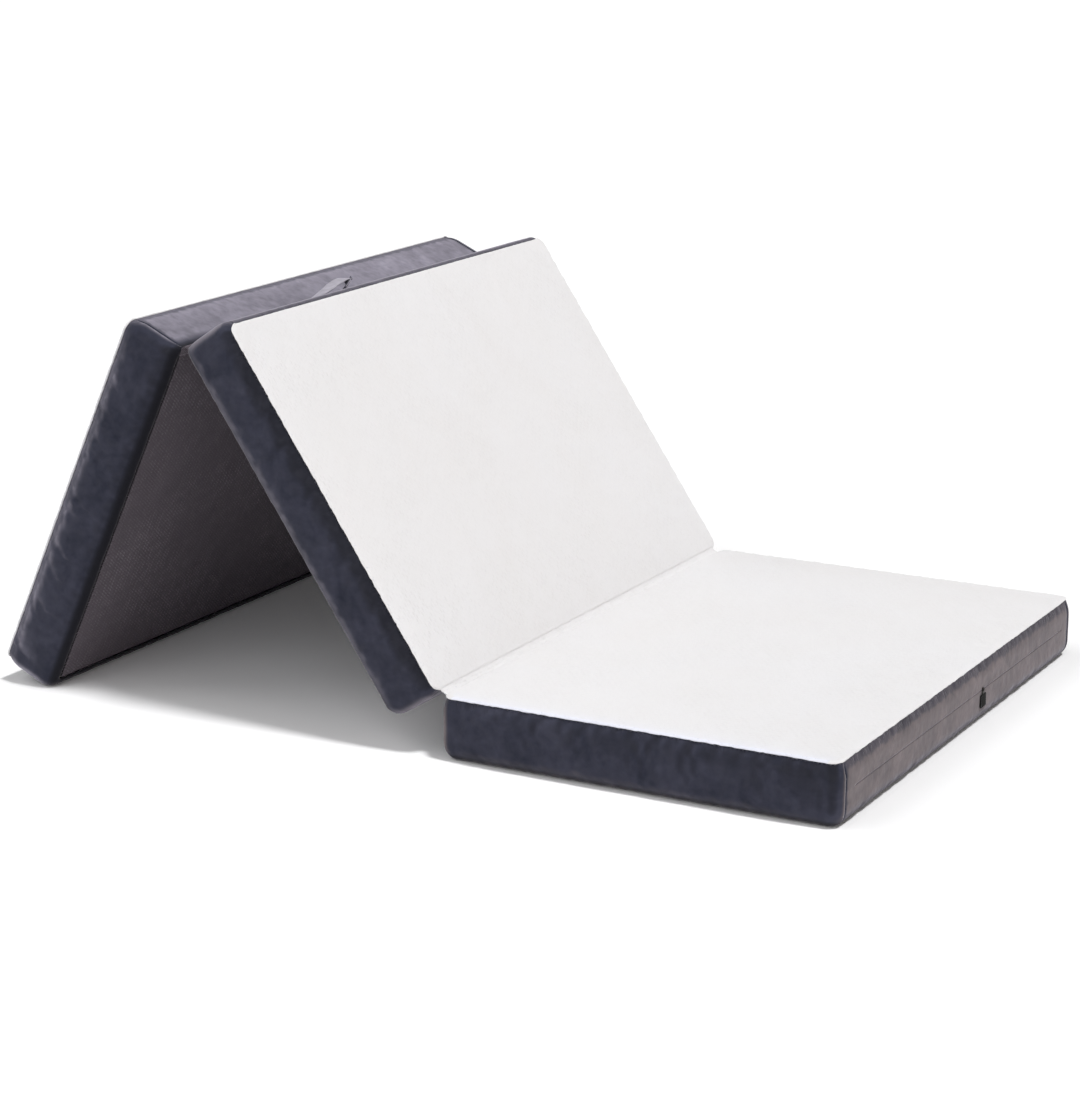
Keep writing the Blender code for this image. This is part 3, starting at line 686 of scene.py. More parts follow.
class Grid:
    """Lines along and across a rectangle with round corners, and the ring of points at its edge."""

    def __init__(self, along, across, corner_cells):
        corner = np.linspace(0, 1, corner_cells + 1)
        self.corner_x, self.middle_x = self.axis(corner, along)
        self.corner_y, self.middle_y = self.axis(corner, across)
        nx, ny = len(self.corner_x) - 1, len(self.corner_y) - 1
        self.nx, self.ny = nx, ny
        self.i = np.concatenate((np.arange(nx), np.full(ny, nx), np.arange(nx, 0, -1), np.zeros(ny, int)))
        self.j = np.concatenate((np.zeros(nx, int), np.arange(ny), np.full(nx, ny), np.arange(ny, 0, -1)))
        self.count = len(self.i)
        cx, cy = self.corner_x[self.i], self.corner_y[self.j]
        self.side = np.select(
            [(cx == -1) & (cy == 0), (cx == 1) & (cy == 0), cy == -1, cy == 1],
            [LOW, HIGH, FRONT, BACK],
            default=-1,
        )
        self.side[(cx != 0) & (cy != 0)] = -1
        self.share = np.where(np.abs(cx) == 1, self.middle_y[self.j], self.middle_x[self.i])

    @staticmethod
    def axis(corner, middle):
        count = len(middle)
        part = np.concatenate((corner - 1, np.zeros(count), corner))
        share = np.concatenate((np.zeros(len(corner)), middle, np.ones(len(corner))))
        return part, share

    def spots(self, cx, mx, cy, my, edges, radius):
        low, high, front, back = edges
        x = -low + radius + (low + high - 2 * radius) * mx + radius * cx * np.sqrt(1 - cy**2 / 2)
        y = -front + radius + (front + back - 2 * radius) * my + radius * cy * np.sqrt(1 - cx**2 / 2)
        return x, y

    def ring(self, edges, radius):
        i, j = self.i, self.j
        return self.spots(
            self.corner_x[i], self.middle_x[i], self.corner_y[j], self.middle_y[j], edges, radius)

    def sheet(self, edges, radius):
        return self.spots(
            self.corner_x[:, None], self.middle_x[:, None], self.corner_y[None, :], self.middle_y[None, :],
            edges, radius,
        )

    def outward(self, edges, radius):
        """The ring's outward directions."""
        x, y = self.ring(edges, radius)
        dx, dy = np.roll(x, -1) - np.roll(x, 1), np.roll(y, -1) - np.roll(y, 1)
        size = np.hypot(dx, dy)
        return dy / size, -dx / size

    def run(self, edges, radius):
        """Distance round the ring, with the full round as its last value."""
        x, y = self.ring(edges, radius)
        return so_far(np.hypot(np.roll(x, -1) - x, np.roll(y, -1) - y))

    def level(self, outline, height):
        """The ring's points at this height, and its outward directions."""
        flat = np.stack((*self.ring(*outline), np.full(self.count, height)), axis=1)
        return flat, np.stack((*self.outward(*outline), np.zeros(self.count)), axis=1)


class Panel:
    """One panel: its insets on its low X, high X, front and back sides, and its place when set up."""

    def __init__(self, letter, top, bottom, bulge, zip_side, seat, angle):
        self.letter = letter
        self.top, self.bottom, self.bulge = top, bottom, bulge
        self.zip_side = zip_side
        self.seat, self.angle = np.array(seat), angle
        self.body = f"panel_{letter}"
        self.at_ridge = self.top[LOW] == RIDGE_INSET
        ends = zip_side in (LOW, HIGH)
        self.zip_wall, self.zip_face = (PANEL_WIDTH, PANEL_LENGTH) if ends else (PANEL_LENGTH, PANEL_WIDTH)
        self.gathers_and_highlight = GATHERS_AND_HIGHLIGHT[letter]

    def place(self, points):
        """Into the scene, where nothing is pressed into the floor."""
        points = turned(points, self.angle) + self.seat
        points[..., 2] = np.maximum(points[..., 2], FLOOR_GAP)
        return points

    def edges(self, bottom_share, top_share, set_in=0.0):
        half = (PANEL_LENGTH / 2, PANEL_LENGTH / 2, PANEL_WIDTH / 2, PANEL_WIDTH / 2)
        shares = [1 - math.sqrt(1 - top_share) if t == RIDGE_INSET else top_share for t in self.top]
        return [h - bottom_share * b - share * t - set_in
                for h, b, share, t in zip(half, self.bottom, shares, self.top)]

    def hinged(self, grid):
        """Where the ring is on a side that is hinged to the next panel."""
        return np.array([side >= 0 and self.bulge[side] == SEWN_BULGE for side in grid.side])

    def radius(self, bottom_share, top_share, set_in=0.0):
        radius = PLAN_RADIUS - PINCH * (bottom_share * CURL_INSET + top_share * FREE_INSET)
        return radius - min(max(set_in, 0.0), radius / 2)

    def outline(self, bottom_share, top_share, set_in=0.0):
        return self.edges(bottom_share, top_share, set_in), self.radius(bottom_share, top_share, set_in)


def top_part(height):
    """How much of the top inset a wall has at this height."""
    return max((height - BELLY_TOP) / (SEAM_LINE - BELLY_TOP), 0.0) ** 2


PANELS = (
    Panel("a", (SEWN_INSET, FREE_INSET, FREE_INSET, FREE_INSET), (CURL_INSET,) * 4,
          (SEWN_BULGE, ZIP_BULGE, FREE_BULGE, FREE_BULGE), HIGH, (0.398272, -0.0015, 0.0), 0.0),
    Panel("b", (RIDGE_INSET, SEWN_INSET, FREE_INSET, FREE_INSET),
          (SEWN_INSET, CURL_INSET, CURL_INSET, CURL_INSET), (SEWN_BULGE, SEWN_BULGE, FREE_BULGE, ZIP_BULGE),
          BACK, (-0.181059, -0.0015, 0.30674), LEAN_B),
    Panel("c", (FREE_INSET,) * 4, (CURL_INSET, SEWN_INSET, CURL_INSET, CURL_INSET),
          (ZIP_BULGE, SEWN_BULGE, FREE_BULGE, FREE_BULGE), LOW, (-0.500628, -0.0015, 0.280244), -LEAN_C),
)


def side_levels():
    """The wall's levels: height, share of the bottom inset, share of the top inset, set in."""
    levels = [(0.0012, 1.0, 0.0, 0.0016)]
    for step in range(8):
        angle = math.radians(90) * (1 - step / 7)
        levels.append((CURL_HEIGHT * (1 - math.sin(angle)), 1 - math.cos(angle), 0.0, 0.0))
    heights = [0.031, 0.037, 0.042, 0.046, 0.0485, 0.0498]
    heights += [ZIP_HEIGHT - LIP, ZIP_HEIGHT + LIP]
    heights += [0.0542, 0.0555, 0.058, 0.0625, BELLY_TOP]
    levels += [(height, 0.0, 0.0, 0.0) for height in heights]
    for share in (0.11, 0.22, 0.33, 0.44, 0.55, 0.66, 0.77, 0.86, 0.92, 0.96, 0.985, 1.0):
        levels.append((BELLY_TOP + (SEAM_LINE - BELLY_TOP) * share, 0.0, share**2, 0.0))
    levels.append((SEAM_LINE + 0.0008, 0.0, 1.0, 0.0018))
    return levels


def inflate(panel):
    """The creases of the whole cover, blown up as cloth between its seams: those of its sides over the
    ring and the height, and those of its top, each about 1 where they are strong."""
    grid = Grid(spread(58), spread(88), 2)
    heights = (0.004, 0.013, 0.025, 0.036, ZIP_HEIGHT, BELLY_TOP, 0.078, 0.087, SEAM_LINE)
    rings, points, faces = [], [], []
    for height in heights:
        sine = max(1 - height / CURL_HEIGHT, 0.0)
        x, y = grid.ring(*panel.outline(1 - math.sqrt(1 - sine**2), top_part(height)))
        rings.append(len(points) + np.arange(grid.count))
        points += [(a, b, height) for a, b in zip(x, y)]
    for low, high in zip(rings[:-1], rings[1:]):
        faces += [(low[k - 1], low[k], high[k], high[k - 1]) for k in range(grid.count)]
    sheets = []
    for ring, height, outline in ((rings[0], heights[0], panel.outline(1.0, 0.0)),
                                  (rings[-1], heights[-1], panel.outline(0.0, 1.0))):
        x, y = grid.sheet(*outline)
        number = np.zeros((grid.nx + 1, grid.ny + 1), int)
        number[1:-1, 1:-1] = len(points) + np.arange((grid.nx - 1) * (grid.ny - 1)).reshape(grid.nx - 1, -1)
        number[grid.i, grid.j] = ring
        points += [(a, b, height) for a, b in zip(x[1:-1, 1:-1].ravel(), y[1:-1, 1:-1].ravel())]
        corners = np.stack((number[:-1, :-1], number[1:, :-1], number[1:, 1:], number[:-1, 1:]), axis=-1)
        corners = corners.reshape(-1, 4)
        faces += (corners if ring is rings[-1] else corners[:, ::-1]).tolist()
        sheets.append(number)
    points = np.array(points)

    held = np.zeros(len(points))
    held[rings[0]] = held[rings[-1]] = 1.0
    for ring in rings:
        held[ring[panel.hinged(grid)]] = 1.0
    outline = panel.edges(0.0, 1.0)
    inland = np.minimum(np.minimum(points[:, 0] + outline[0], outline[1] - points[:, 0]),
                        np.minimum(points[:, 1] + outline[2], outline[3] - points[:, 1]))
    flat = np.unique(np.concatenate([number[1:-1, 1:-1].ravel() for number in sheets]))
    held[flat] = 0.85 * ease(inland[flat], 0.02, 0.14)

    mesh = bpy.data.meshes.new("cover_cloth")
    mesh.from_pydata(points.tolist(), [], [[int(i) for i in face] for face in faces])
    cover = put("cover_cloth", mesh)
    pins = cover.vertex_groups.new(name="seams")
    for index, weight in enumerate(held):
        if weight > 0:
            pins.add([index], float(weight), "REPLACE")
    cloth = cover.modifiers.new("cloth", "CLOTH")
    settings = cloth.settings
    settings.use_pressure = True
    settings.uniform_pressure_force = COVER_PRESSURE
    settings.shrink_min = COVER_SHRINK
    settings.vertex_group_mass = "seams"
    settings.effector_weights.gravity = 0.0
    settings.quality = 4
    cloth.collision_settings.use_collision = False
    for step in range(1, COVER_FRAMES + 1):
        bpy.context.scene.frame_set(step)
    shaped = cover.evaluated_get(bpy.context.evaluated_depsgraph_get())
    spots = np.empty(len(points) * 3, np.float32)
    shaped.data.vertices.foreach_get("co", spots)
    moved = spots.reshape(-1, 3) - points
    bpy.context.scene.frame_set(1)
    bpy.data.objects.remove(cover, do_unlink=True)
    nx, ny = grid.outward(*panel.outline(0.0, 0.0))
    sides = crease_part(np.array([moved[ring, 0] * nx + moved[ring, 1] * ny for ring in rings]))
    top = moved[sheets[-1], 2]
    top = crease_part(crease_part(top).T).T
    spots = points[sheets[-1]]
    return {
        "run": grid.run(*panel.outline(0.0, 0.0)), "heights": np.array(heights), "sides": sides,
        "x": spots[:, grid.ny // 2, 0], "y": spots[grid.nx // 2, :, 1], "top": top,
    }


def crease_part(values):
    """What is left of values when their slow change along the last axis is taken off."""
    slow = values
    for _ in range(30):
        slow = 0.25 * np.roll(slow, 1, axis=-1) + 0.5 * slow + 0.25 * np.roll(slow, -1, axis=-1)
    left = values - slow
    return np.clip(left / max(np.percentile(np.abs(left), 95), 1e-6), -1.3, 1.3)


def side_creases(found, run, height):
    """The side's creases at these distances round the ring."""
    if found is None:
        return np.zeros(len(run) - 1)
    share = float(np.interp(height, found["heights"], np.arange(len(found["heights"]))))
    row = min(int(share), len(found["heights"]) - 2)
    values = found["sides"][row] * (row + 1 - share) + found["sides"][row + 1] * (share - row)
    total = found["run"][-1]
    return np.interp(run[:-1] / run[-1] * total, found["run"], np.append(values, values[0]))


def top_creases(found, x, y):
    """The top's creases at these places."""
    if found is None:
        return np.zeros_like(x)
    i = np.interp(x, found["x"], np.arange(len(found["x"])))
    j = np.interp(y, found["y"], np.arange(len(found["y"])))
    a, b = np.minimum(i.astype(int), len(found["x"]) - 2), np.minimum(j.astype(int), len(found["y"]) - 2)
    u, v, top = i - a, j - b, found["top"]
    return ((1 - u) * (1 - v) * top[a, b] + u * (1 - v) * top[a + 1, b]
            + (1 - u) * v * top[a, b + 1] + u * v * top[a + 1, b + 1])


def make_border(panel, found):
    """The velvet side: it bulges between its seams, puckers at them, and has the zip's narrow slot."""
    across_fine = [0.0005, 0.0011, 0.0016, 0.0021, 0.0027, 0.0036, 0.0052]
    across = spread(228, [v / 0.925 for v in across_fine])
    grid = Grid(spread(148), across, 5)
    levels = side_levels()
    s = grid.run(*panel.outline(0.0, 0.0))
    amount = np.array([panel.bulge[side] if side >= 0 else 0.0 for side in grid.side])
    length = np.where(np.isin(grid.side, (LOW, HIGH)), PANEL_WIDTH, PANEL_LENGTH) - 2 * PLAN_RADIUS
    from_corner = np.minimum(grid.share, 1 - grid.share) * length
    amount = amount * ease(from_corner, 0.0, 0.070)
    open_face = amount > 0.0004
    hinge_face = panel.hinged(grid)
    zip_half = panel.zip_wall / 2 - ZIP_MARGIN
    along = (grid.share - 0.5) * length
    zip_side = grid.side == panel.zip_side
    on_zip = zip_side & (np.abs(along) < zip_half)
    slot = on_zip & np.roll(on_zip, -1)
    zip_window = np.where(zip_side, 1 - ease(np.abs(along), zip_half - 0.012, zip_half + 0.004), 0.0)
    calm = np.where(zip_side, 1 - ease(np.abs(along), zip_half + 0.024, zip_half + 0.040), 0.0)
    end_face = np.isin(grid.side, (LOW, HIGH))
    corner_groove = np.where(end_face, np.exp(-(((from_corner - CORNER_SEAM) / 0.0013) ** 2)), 0.0)
    corner_pull = np.where(end_face, np.exp(-(((from_corner - CORNER_SEAM) / 0.008) ** 2)), 0.0)

    rows, heights = [], []
    for height, *shares in levels:
        spots, outward = grid.level(panel.outline(*shares), height)
        belly = math.sin(math.pi * min(max((height - 0.004) / 0.088, 0.0), 1.0)) ** 0.8
        to_zip = abs(height - ZIP_HEIGHT)
        drawn_in = calm * (1 - ease(to_zip, 0.026, 0.040))
        out = amount * belly * (1 - drawn_in)
        wave = uneven(spots, (0.060, 0.060, 0.045), 11) * 0.6
        wave = wave + uneven(spots, (0.024, 0.024, 0.030), 12) * 0.4
        out = out + wave * np.where(open_face, 0.0011, 0.0002) * belly * (1 - drawn_in)
        out = out + side_creases(found, s, height) * np.where(open_face, SIDE_CREASE, 0.0) * (1 - drawn_in)
        near_top = math.exp(-(((SEAM_LINE - height) / 0.009) ** 2))
        near_low = math.exp(-((height / 0.012) ** 2))
        drawn = spots * (1, 1, 0.25)
        pucker = uneven(drawn, 0.011, 13) * 0.65 + uneven(drawn, 0.0055, 14) * 0.35
        depth = np.where(hinge_face, 0.0004, 0.0013)
        out = out + (pucker - 0.35) * depth * near_top + (pucker - 0.2) * depth * near_low
        seam_pucker = uneven(spots, (1.0, 1.0, 0.006), 15)
        out = out - corner_groove * (0.0014 + 0.0005 * seam_pucker) * min(belly * 3, 1.0)
        out = out - corner_pull * 0.0005 * (1 + seam_pucker) * min(belly * 3, 1.0)
        lip = zip_window * (0.0002 * math.exp(-((to_zip - LIP) / 0.0009) ** 2) if to_zip < 0.006 else 0.0)
        out = out - lip
        out = np.where(hinge_face, np.minimum(out, 0.0005), out)
        rows.append(spots + outward * out[:, None])
        heights.append(height)
    rows = np.array(rows)
    v = so_far(np.linalg.norm(np.diff(rows, axis=0), axis=2).mean(axis=1))

    around = np.roll(rows, -1, axis=1) - np.roll(rows, 1, axis=1)
    upward = np.gradient(rows, axis=0)
    normal = np.cross(around, upward)
    normal /= np.linalg.norm(normal, axis=2, keepdims=True)
    flat = np.abs(np.array(heights) - ZIP_HEIGHT) < 0.006
    normal[flat, :, 2] = 0.0
    inner = rows - normal * CLOTH

    ones = np.ones(grid.count)
    # The seam mark holds back the painted sheen and rim highlight, leaving painted shade along the seam and
    # at the corners; it is narrower at the ridge, so more of the painted rim highlight shows there
    reach = 0.013 * ones
    if panel.at_ridge:
        reach = np.where(grid.side == LOW, 0.0045, reach)
    seam = np.exp(-(((SEAM_LINE - np.array(heights))[:, None] / reach[None, :]) ** 2))
    seam = np.maximum(seam, 0.8 * corner_pull[None, :])
    # Painted shade: dark along the bottom curl and in the corner seams' grooves
    painted_light = np.exp(-((np.array(heights) / 0.022) ** 2))[:, None] * ones
    groove_shade = np.where(end_face, np.exp(-(((from_corner - CORNER_SEAM + 0.0004) / 0.0021) ** 2)), 0.0)
    painted_light = np.maximum(painted_light, 0.95 * groove_shade[None, :])
    skin = Skin()
    outer_ids = [skin.add(row, seam[k], painted_light[k]) for k, row in enumerate(rows)]
    inner_ids = [skin.add(row, 0.0) for row in inner]
    slot_row = heights.index(ZIP_HEIGHT - LIP)
    for k in range(len(rows) - 1):
        keep = ~slot if k == slot_row else None
        skin.band(outer_ids[k], outer_ids[k + 1], s, v[k], v[k + 1], keep=keep)
        skin.band(inner_ids[k], inner_ids[k + 1], s, v[k], v[k + 1], flip=True, keep=keep)
    skin.band(inner_ids[0], outer_ids[0], s, 0.0, CLOTH)
    skin.band(outer_ids[-1], inner_ids[-1], s, v[-1], v[-1] + CLOTH)
    # The slot's two long edges and its ends
    low_out, high_out = outer_ids[slot_row:slot_row + 2]
    low_in, high_in = inner_ids[slot_row:slot_row + 2]
    skin.band(low_out, low_in, s, 0.0, CLOTH, keep=slot)
    skin.band(high_in, high_out, s, 0.0, CLOTH, keep=slot)
    first = np.nonzero(slot & ~np.roll(slot, 1))[0][0]
    last = (np.nonzero(slot & ~np.roll(slot, -1))[0][0] + 1) % grid.count
    end_uv = np.array([[[0, 0], [CLOTH, 0], [CLOTH, 2 * LIP], [0, 2 * LIP]]])
    skin.quads([[low_out[first], low_in[first], high_in[first], high_out[first]]], end_uv)
    skin.quads([[low_in[last], low_out[last], high_out[last], high_in[last]]], end_uv)
    obj = skin.piece(f"velvet_side_{panel.letter}", VELVETS[panel.letter], panel.place)
    dress(obj, panel.body, "velvet", f"cover_border_{panel.letter}", fill=1.0)

    # Corner seams, sewn with a short dark stitch
    paths = []
    for k in np.nonzero(end_face & (np.abs(from_corner - CORNER_SEAM) < 0.0003))[0]:
        paths.append([rows[r][k] for r in range(2, len(rows) - 2)])
    obj = stitched(f"corner_stitches_{panel.letter}", paths, DARK_THREAD, panel.place, 21,
                   pitch=0.0046, length=0.0034, width=0.0012, height=0.0012)
    dress(obj, panel.body, "velvet")


def make_top(panel, found):
    """The white knit: its edge is drawn into the seam, and it is lightly crowned."""
    grid = Grid(spread(146), spread(226), 4)
    profile = (
        (0.0030, 0.0936), (0.0010, 0.0937), (0.0004, 0.0944), (0.0003, 0.0952), (0.0007, 0.0959),
        (0.0016, 0.0965), (0.0032, 0.0969), (0.0052, 0.0971), (0.0080, 0.0972),
    )
    s = grid.run(*panel.outline(0.0, 1.0))
    skin = Skin()
    ids, v = [], 0.0
    for k, (set_in, height) in enumerate(profile):
        spots, outward = grid.level(panel.outline(0.0, 1.0, set_in), height)
        flat = spots * (1, 1, 0)
        ripple = uneven(flat, 0.009, 31) * 0.6 + uneven(flat, 0.0048, 32) * 0.4
        spots += outward * ripple[:, None] * 0.00035
        if k >= 3:
            spots[:, 2] += ripple * 0.00035
        seam = math.exp(-((set_in / 0.008) ** 2))
        # Its last value is the front edge's painted highlight
        row = skin.add(spots, np.where(grid.side == FRONT, 0.8, 0.4) * seam,
                       np.where(grid.side == FRONT, panel.gathers_and_highlight, 0.0) * seam)
        if ids:
            skin.band(ids[-1], row, s, v, v + ROW)
            v += ROW
        ids.append(row)
    skin.cap(ids[0], reverse=True)

    set_in, rim = profile[-1]
    edges, radius = panel.outline(0.0, 1.0, set_in)
    x, y = grid.sheet(edges, radius)
    low, high, front, back = edges
    gap_x = np.minimum(x + low, high - x)
    gap_y = np.minimum(y + front, back - y)
    swell = (1 - (1 - np.clip(gap_x / 0.15, 0, 1)) ** 3) * (1 - (1 - np.clip(gap_y / 0.15, 0, 1)) ** 3)
    z = rim + (SEAM_HEIGHT + CROWN - rim) * swell
    flat = np.stack((x, y, 0 * x), axis=-1)
    inland = np.clip(np.minimum(gap_x, gap_y), 0, None)
    soft = uneven(flat, 0.085, 33) * 0.00030 + uneven(flat, 0.032, 34) * 0.00014
    z = z + soft * ease(inland, 0.0, 0.03)
    # Small gathers that run in from the seam
    across = uneven(flat * (1, 0.15, 0), 0.010, 35) * np.exp(-gap_y / 0.011)
    across = across + uneven(flat * (0.15, 1, 0), 0.010, 36) * np.exp(-gap_x / 0.011)
    z = z + across * (0.00035 + 0.0004 * panel.gathers_and_highlight) * ease(inland, 0.0, 0.006)
    z = z + top_creases(found, x, y) * TOP_CREASE * ease(inland, 0.0, 0.010)
    z = np.minimum(z, SEAM_HEIGHT + CROWN + 0.0003)
    near = np.exp(-((inland + set_in) / 0.010))
    # A painted highlight along the front edge, fading inwards
    white = panel.gathers_and_highlight * np.exp(-((np.clip(y + front, 0, None) + set_in) / 0.012))
    skin.fill(grid, ids[-1], np.stack((x, y, z), axis=-1), 0.5 * near, white)
    obj = skin.piece(f"knit_top_{panel.letter}", KNIT, panel.place)
    dress(obj, panel.body, "knit_top", f"cover_top_{panel.letter}", fill=1.0)


def make_rolled_edge(panel):
    """The knit's edge, with its gathers, rolled over the top seam."""
    grid = Grid(spread(430), spread(660), 12)
    outline = panel.outline(0.0, 1.0, 0.0006)
    spots, outward = grid.level(outline, 0.0)
    s = grid.run(*outline)
    coarse = uneven(spots, 0.0085, 41)
    fine = uneven(spots, 0.0042, 42)
    nick = np.clip(uneven(spots, 0.0060, 43) * 1.6 - 0.6, 0, 1)
    size = (1 + 0.24 * coarse + 0.16 * fine - 0.45 * nick) * np.where(panel.hinged(grid), 0.4, 1.0)
    drift = 0.00025 * uneven(spots, 0.014, 44)
    # The front of the rolled edge gets the same painted highlight
    gathers_and_highlight = np.where(grid.side == FRONT, panel.gathers_and_highlight, 0.0)
    skin = Skin()
    ids = []
    steps = 9
    for k in range(steps):
        angle = math.tau * k / steps
        out = math.cos(angle) * 0.0019 * size
        row = spots + outward * out[:, None]
        row[:, 2] = ROLL_HEIGHT + (math.sin(angle) * 0.0016 * size + drift)
        # Nicks get a stronger seam mark, so more painted shade in their creases
        ids.append(skin.add(row, 0.4 + 0.4 * nick, gathers_and_highlight))
    for k in range(steps):
        skin.band(ids[k], ids[(k + 1) % steps], s, k * 0.0011, (k + 1) * 0.0011)
    obj = skin.piece(f"rolled_edge_{panel.letter}", KNIT, panel.place)
    dress(obj, panel.body, "knit_top")

    x, y = grid.ring(*panel.outline(0.0, 1.0, -0.0001))
    path = [(float(a), float(b), SEAM_LINE - 0.0011) for a, b in zip(x, y)]
    obj = stitched(f"seam_stitches_{panel.letter}", [[*path, path[0]]], DARK_THREAD, panel.place, 22,
                   pitch=0.0062, length=0.0034, width=0.0012, height=0.0011, variation=0.25)
    dress(obj, panel.body, "velvet")


def make_bottom(panel):
    """The twill underside, sewn in just inside the wall's lower seam."""
    grid = Grid(spread(104), spread(158), 3)
    hang = 0.0 if panel.letter == "a" else 1.0
    profile = ((0.0062, 0.0034), (0.0050, 0.0031), (0.0046, 0.0024), (0.0052, 0.0014), (0.0075, 0.0005))
    s = grid.run(*panel.outline(1.0, 0.0, 0.004))
    skin = Skin()
    ids, v = [], 0.0
    for set_in, height in profile:
        spots, _ = grid.level(panel.outline(1.0, 0.0, set_in), height)
        # The last value is painted shade along the edge's groove
        row = skin.add(spots, 0.9, ease(0.0082 - set_in, 0.0, 0.0030))
        if ids:
            skin.band(ids[-1], row, s, v, v + 0.0011, flip=True)
            v += 0.0011
        ids.append(row)
    skin.cap(ids[0])
    set_in, rim = profile[-1]
    edges, radius = panel.outline(1.0, 0.0, set_in)
    x, y = grid.sheet(edges, radius)
    low, high, front, back = edges
    gap_x, gap_y = np.minimum(x + low, high - x), np.minimum(y + front, back - y)
    inland = np.clip(np.minimum(gap_x, gap_y), 0, None)
    flat = np.stack((x, y, 0 * x), axis=-1)
    z = rim * (1 - ease(inland, 0.0, 0.02)) + 0.0002
    sag = 0.0016 + 0.0011 * uneven(flat, 0.11, 51) + 0.0006 * uneven(flat, 0.04, 52)
    z = z - hang * sag * ease(inland, 0.0, 0.06)
    at_hinge = np.exp(-((high - x) / 0.030)) if panel.letter == "c" else np.exp(-((x + low) / 0.030))
    pull = uneven(flat * (0.12, 1, 0), 0.012, 53) * at_hinge * ease(inland, 0.0, 0.008)
    z = z + hang * pull * 0.0011
    # The seam mark dents creases at the edge and the hinge and paints shade into them
    seam = np.maximum(np.exp(-inland / 0.008), hang * 0.8 * at_hinge)
    skin.fill(grid, ids[-1], np.stack((x, y, z), axis=-1), seam, down=True)
    obj = skin.piece(f"twill_bottom_{panel.letter}", TWILL, panel.place)
    dress(obj, panel.body, "bottom_cloth", f"cover_bottom_{panel.letter}", fill=1.0)


def make_foam(panel):
    """Two foam blocks with softened edges, set back behind the zip."""
    grid = Grid(spread(40), spread(60), 3)
    behind = np.zeros(4)
    behind[panel.zip_side] = ZIP_RECESS + FOAM_GAP - FOAM_INSET
    if panel.at_ridge:
        behind[LOW] = 0.002
    kinds = (
        ("support", FOAM_INSET, FOAM_SPLIT, FIRM_FOAM, "support_foam"),
        ("comfort", FOAM_SPLIT + FOAM_GAP, SEAM_LINE - FOAM_GAP, SOFT_FOAM, "comfort_foam"),
    )
    for kind, base, roof, finish, slot in kinds:
        skin = Skin()
        ids = []
        heights = [base, base + FOAM_EDGE * 0.3, base + FOAM_EDGE]
        heights += list(np.linspace(base, roof, 8)[2:-2])
        heights += [roof - FOAM_EDGE, roof - FOAM_EDGE * 0.3, roof]
        for k, height in enumerate(heights):
            if height < CURL_HEIGHT:
                sine = 1 - (height - FOAM_INSET) / (CURL_HEIGHT - FOAM_INSET)
                bottom_share = 1 - math.cos(math.asin(min(max(sine, 0.0), 1.0)))
            else:
                bottom_share = 0.0
            soft = {0: 0.0022, 1: 0.0008}.get(min(k, len(heights) - 1 - k), 0.0)
            edges, radius = panel.outline(bottom_share, top_part(height), FOAM_INSET + soft)
            edges = [e - b for e, b in zip(edges, behind)]
            spots, outward = grid.level((edges, radius), height)
            wave = (uneven(spots, 0.05, 61) - 1.0) * 0.0004
            ids.append(skin.add(spots + outward * wave[:, None]))
        s = grid.run(edges, radius)
        for k in range(len(ids) - 1):
            skin.band(ids[k], ids[k + 1], s, heights[k], heights[k + 1])
        skin.cap(ids[0], reverse=True)
        skin.cap(ids[-1])
        obj = skin.piece(f"{kind}_foam_{panel.letter}", finish, panel.place)
        dress(obj, panel.body, slot, f"foam_{kind}_{panel.letter}", fill=1.0)


def make_tapes(panel):
    """The zip's two woven tapes behind the slot, each with its row of coil."""
    half = panel.zip_wall / 2 - ZIP_MARGIN + 0.006
    turn = {HIGH: 0.0, LOW: math.pi, BACK: math.pi / 2}[panel.zip_side]

    def place(points):
        """From the zip's frame (X out of the wall, Y along, Z up) to the scene."""
        x, y, z = parts(points)
        x = x + panel.zip_face / 2
        moved = np.stack((x * math.cos(turn) - y * math.sin(turn), x * math.sin(turn) + y * math.cos(turn),
                          z + ZIP_HEIGHT), axis=-1)
        return panel.place(moved)

    for kind, side in (("upper", 1), ("lower", -1)):
        middle = ((-0.0064, 0.0012), (-0.0064, 0.0058), (-0.0062, 0.0064), (-0.0044, 0.0074),
                  (-0.0041, 0.0080), (-0.0041, 0.0124))
        rim = [(x + 0.0004, z) for x, z in middle] + [(x - 0.0004, z) for x, z in reversed(middle)]
        skin = Skin()
        count = 60
        spots = np.linspace(-half, half, count + 1)
        ids = [skin.add([(x, y, side * z) for x, z in rim]) for y in spots]
        run = so_far(np.hypot(*np.diff(np.array(rim + rim[:1]), axis=0).T))
        for k in range(count):
            skin.band(ids[k], ids[k + 1], run, spots[k], spots[k + 1], flip=side > 0)
        skin.cap(ids[0], reverse=side < 0)
        skin.cap(ids[-1], reverse=side > 0)
        obj = skin.piece(f"zip_tape_{kind}_{panel.letter}_cloth", TAPE, place, smooth=False)
        dress(obj, panel.body, "zip_tape", f"zip_tape_{kind}_{panel.letter}")
        path = [(-0.0065, y, side * 0.00125) for y in np.linspace(-half + 0.004, half - 0.004, 40)]
        obj = stitched(f"zip_coil_{kind}_{panel.letter}", [path], COIL, place, 23, pitch=0.0020,
                       length=0.0015, width=0.0013, height=0.0022, variation=0.02)
        dress(obj, panel.body, "zip_tape")


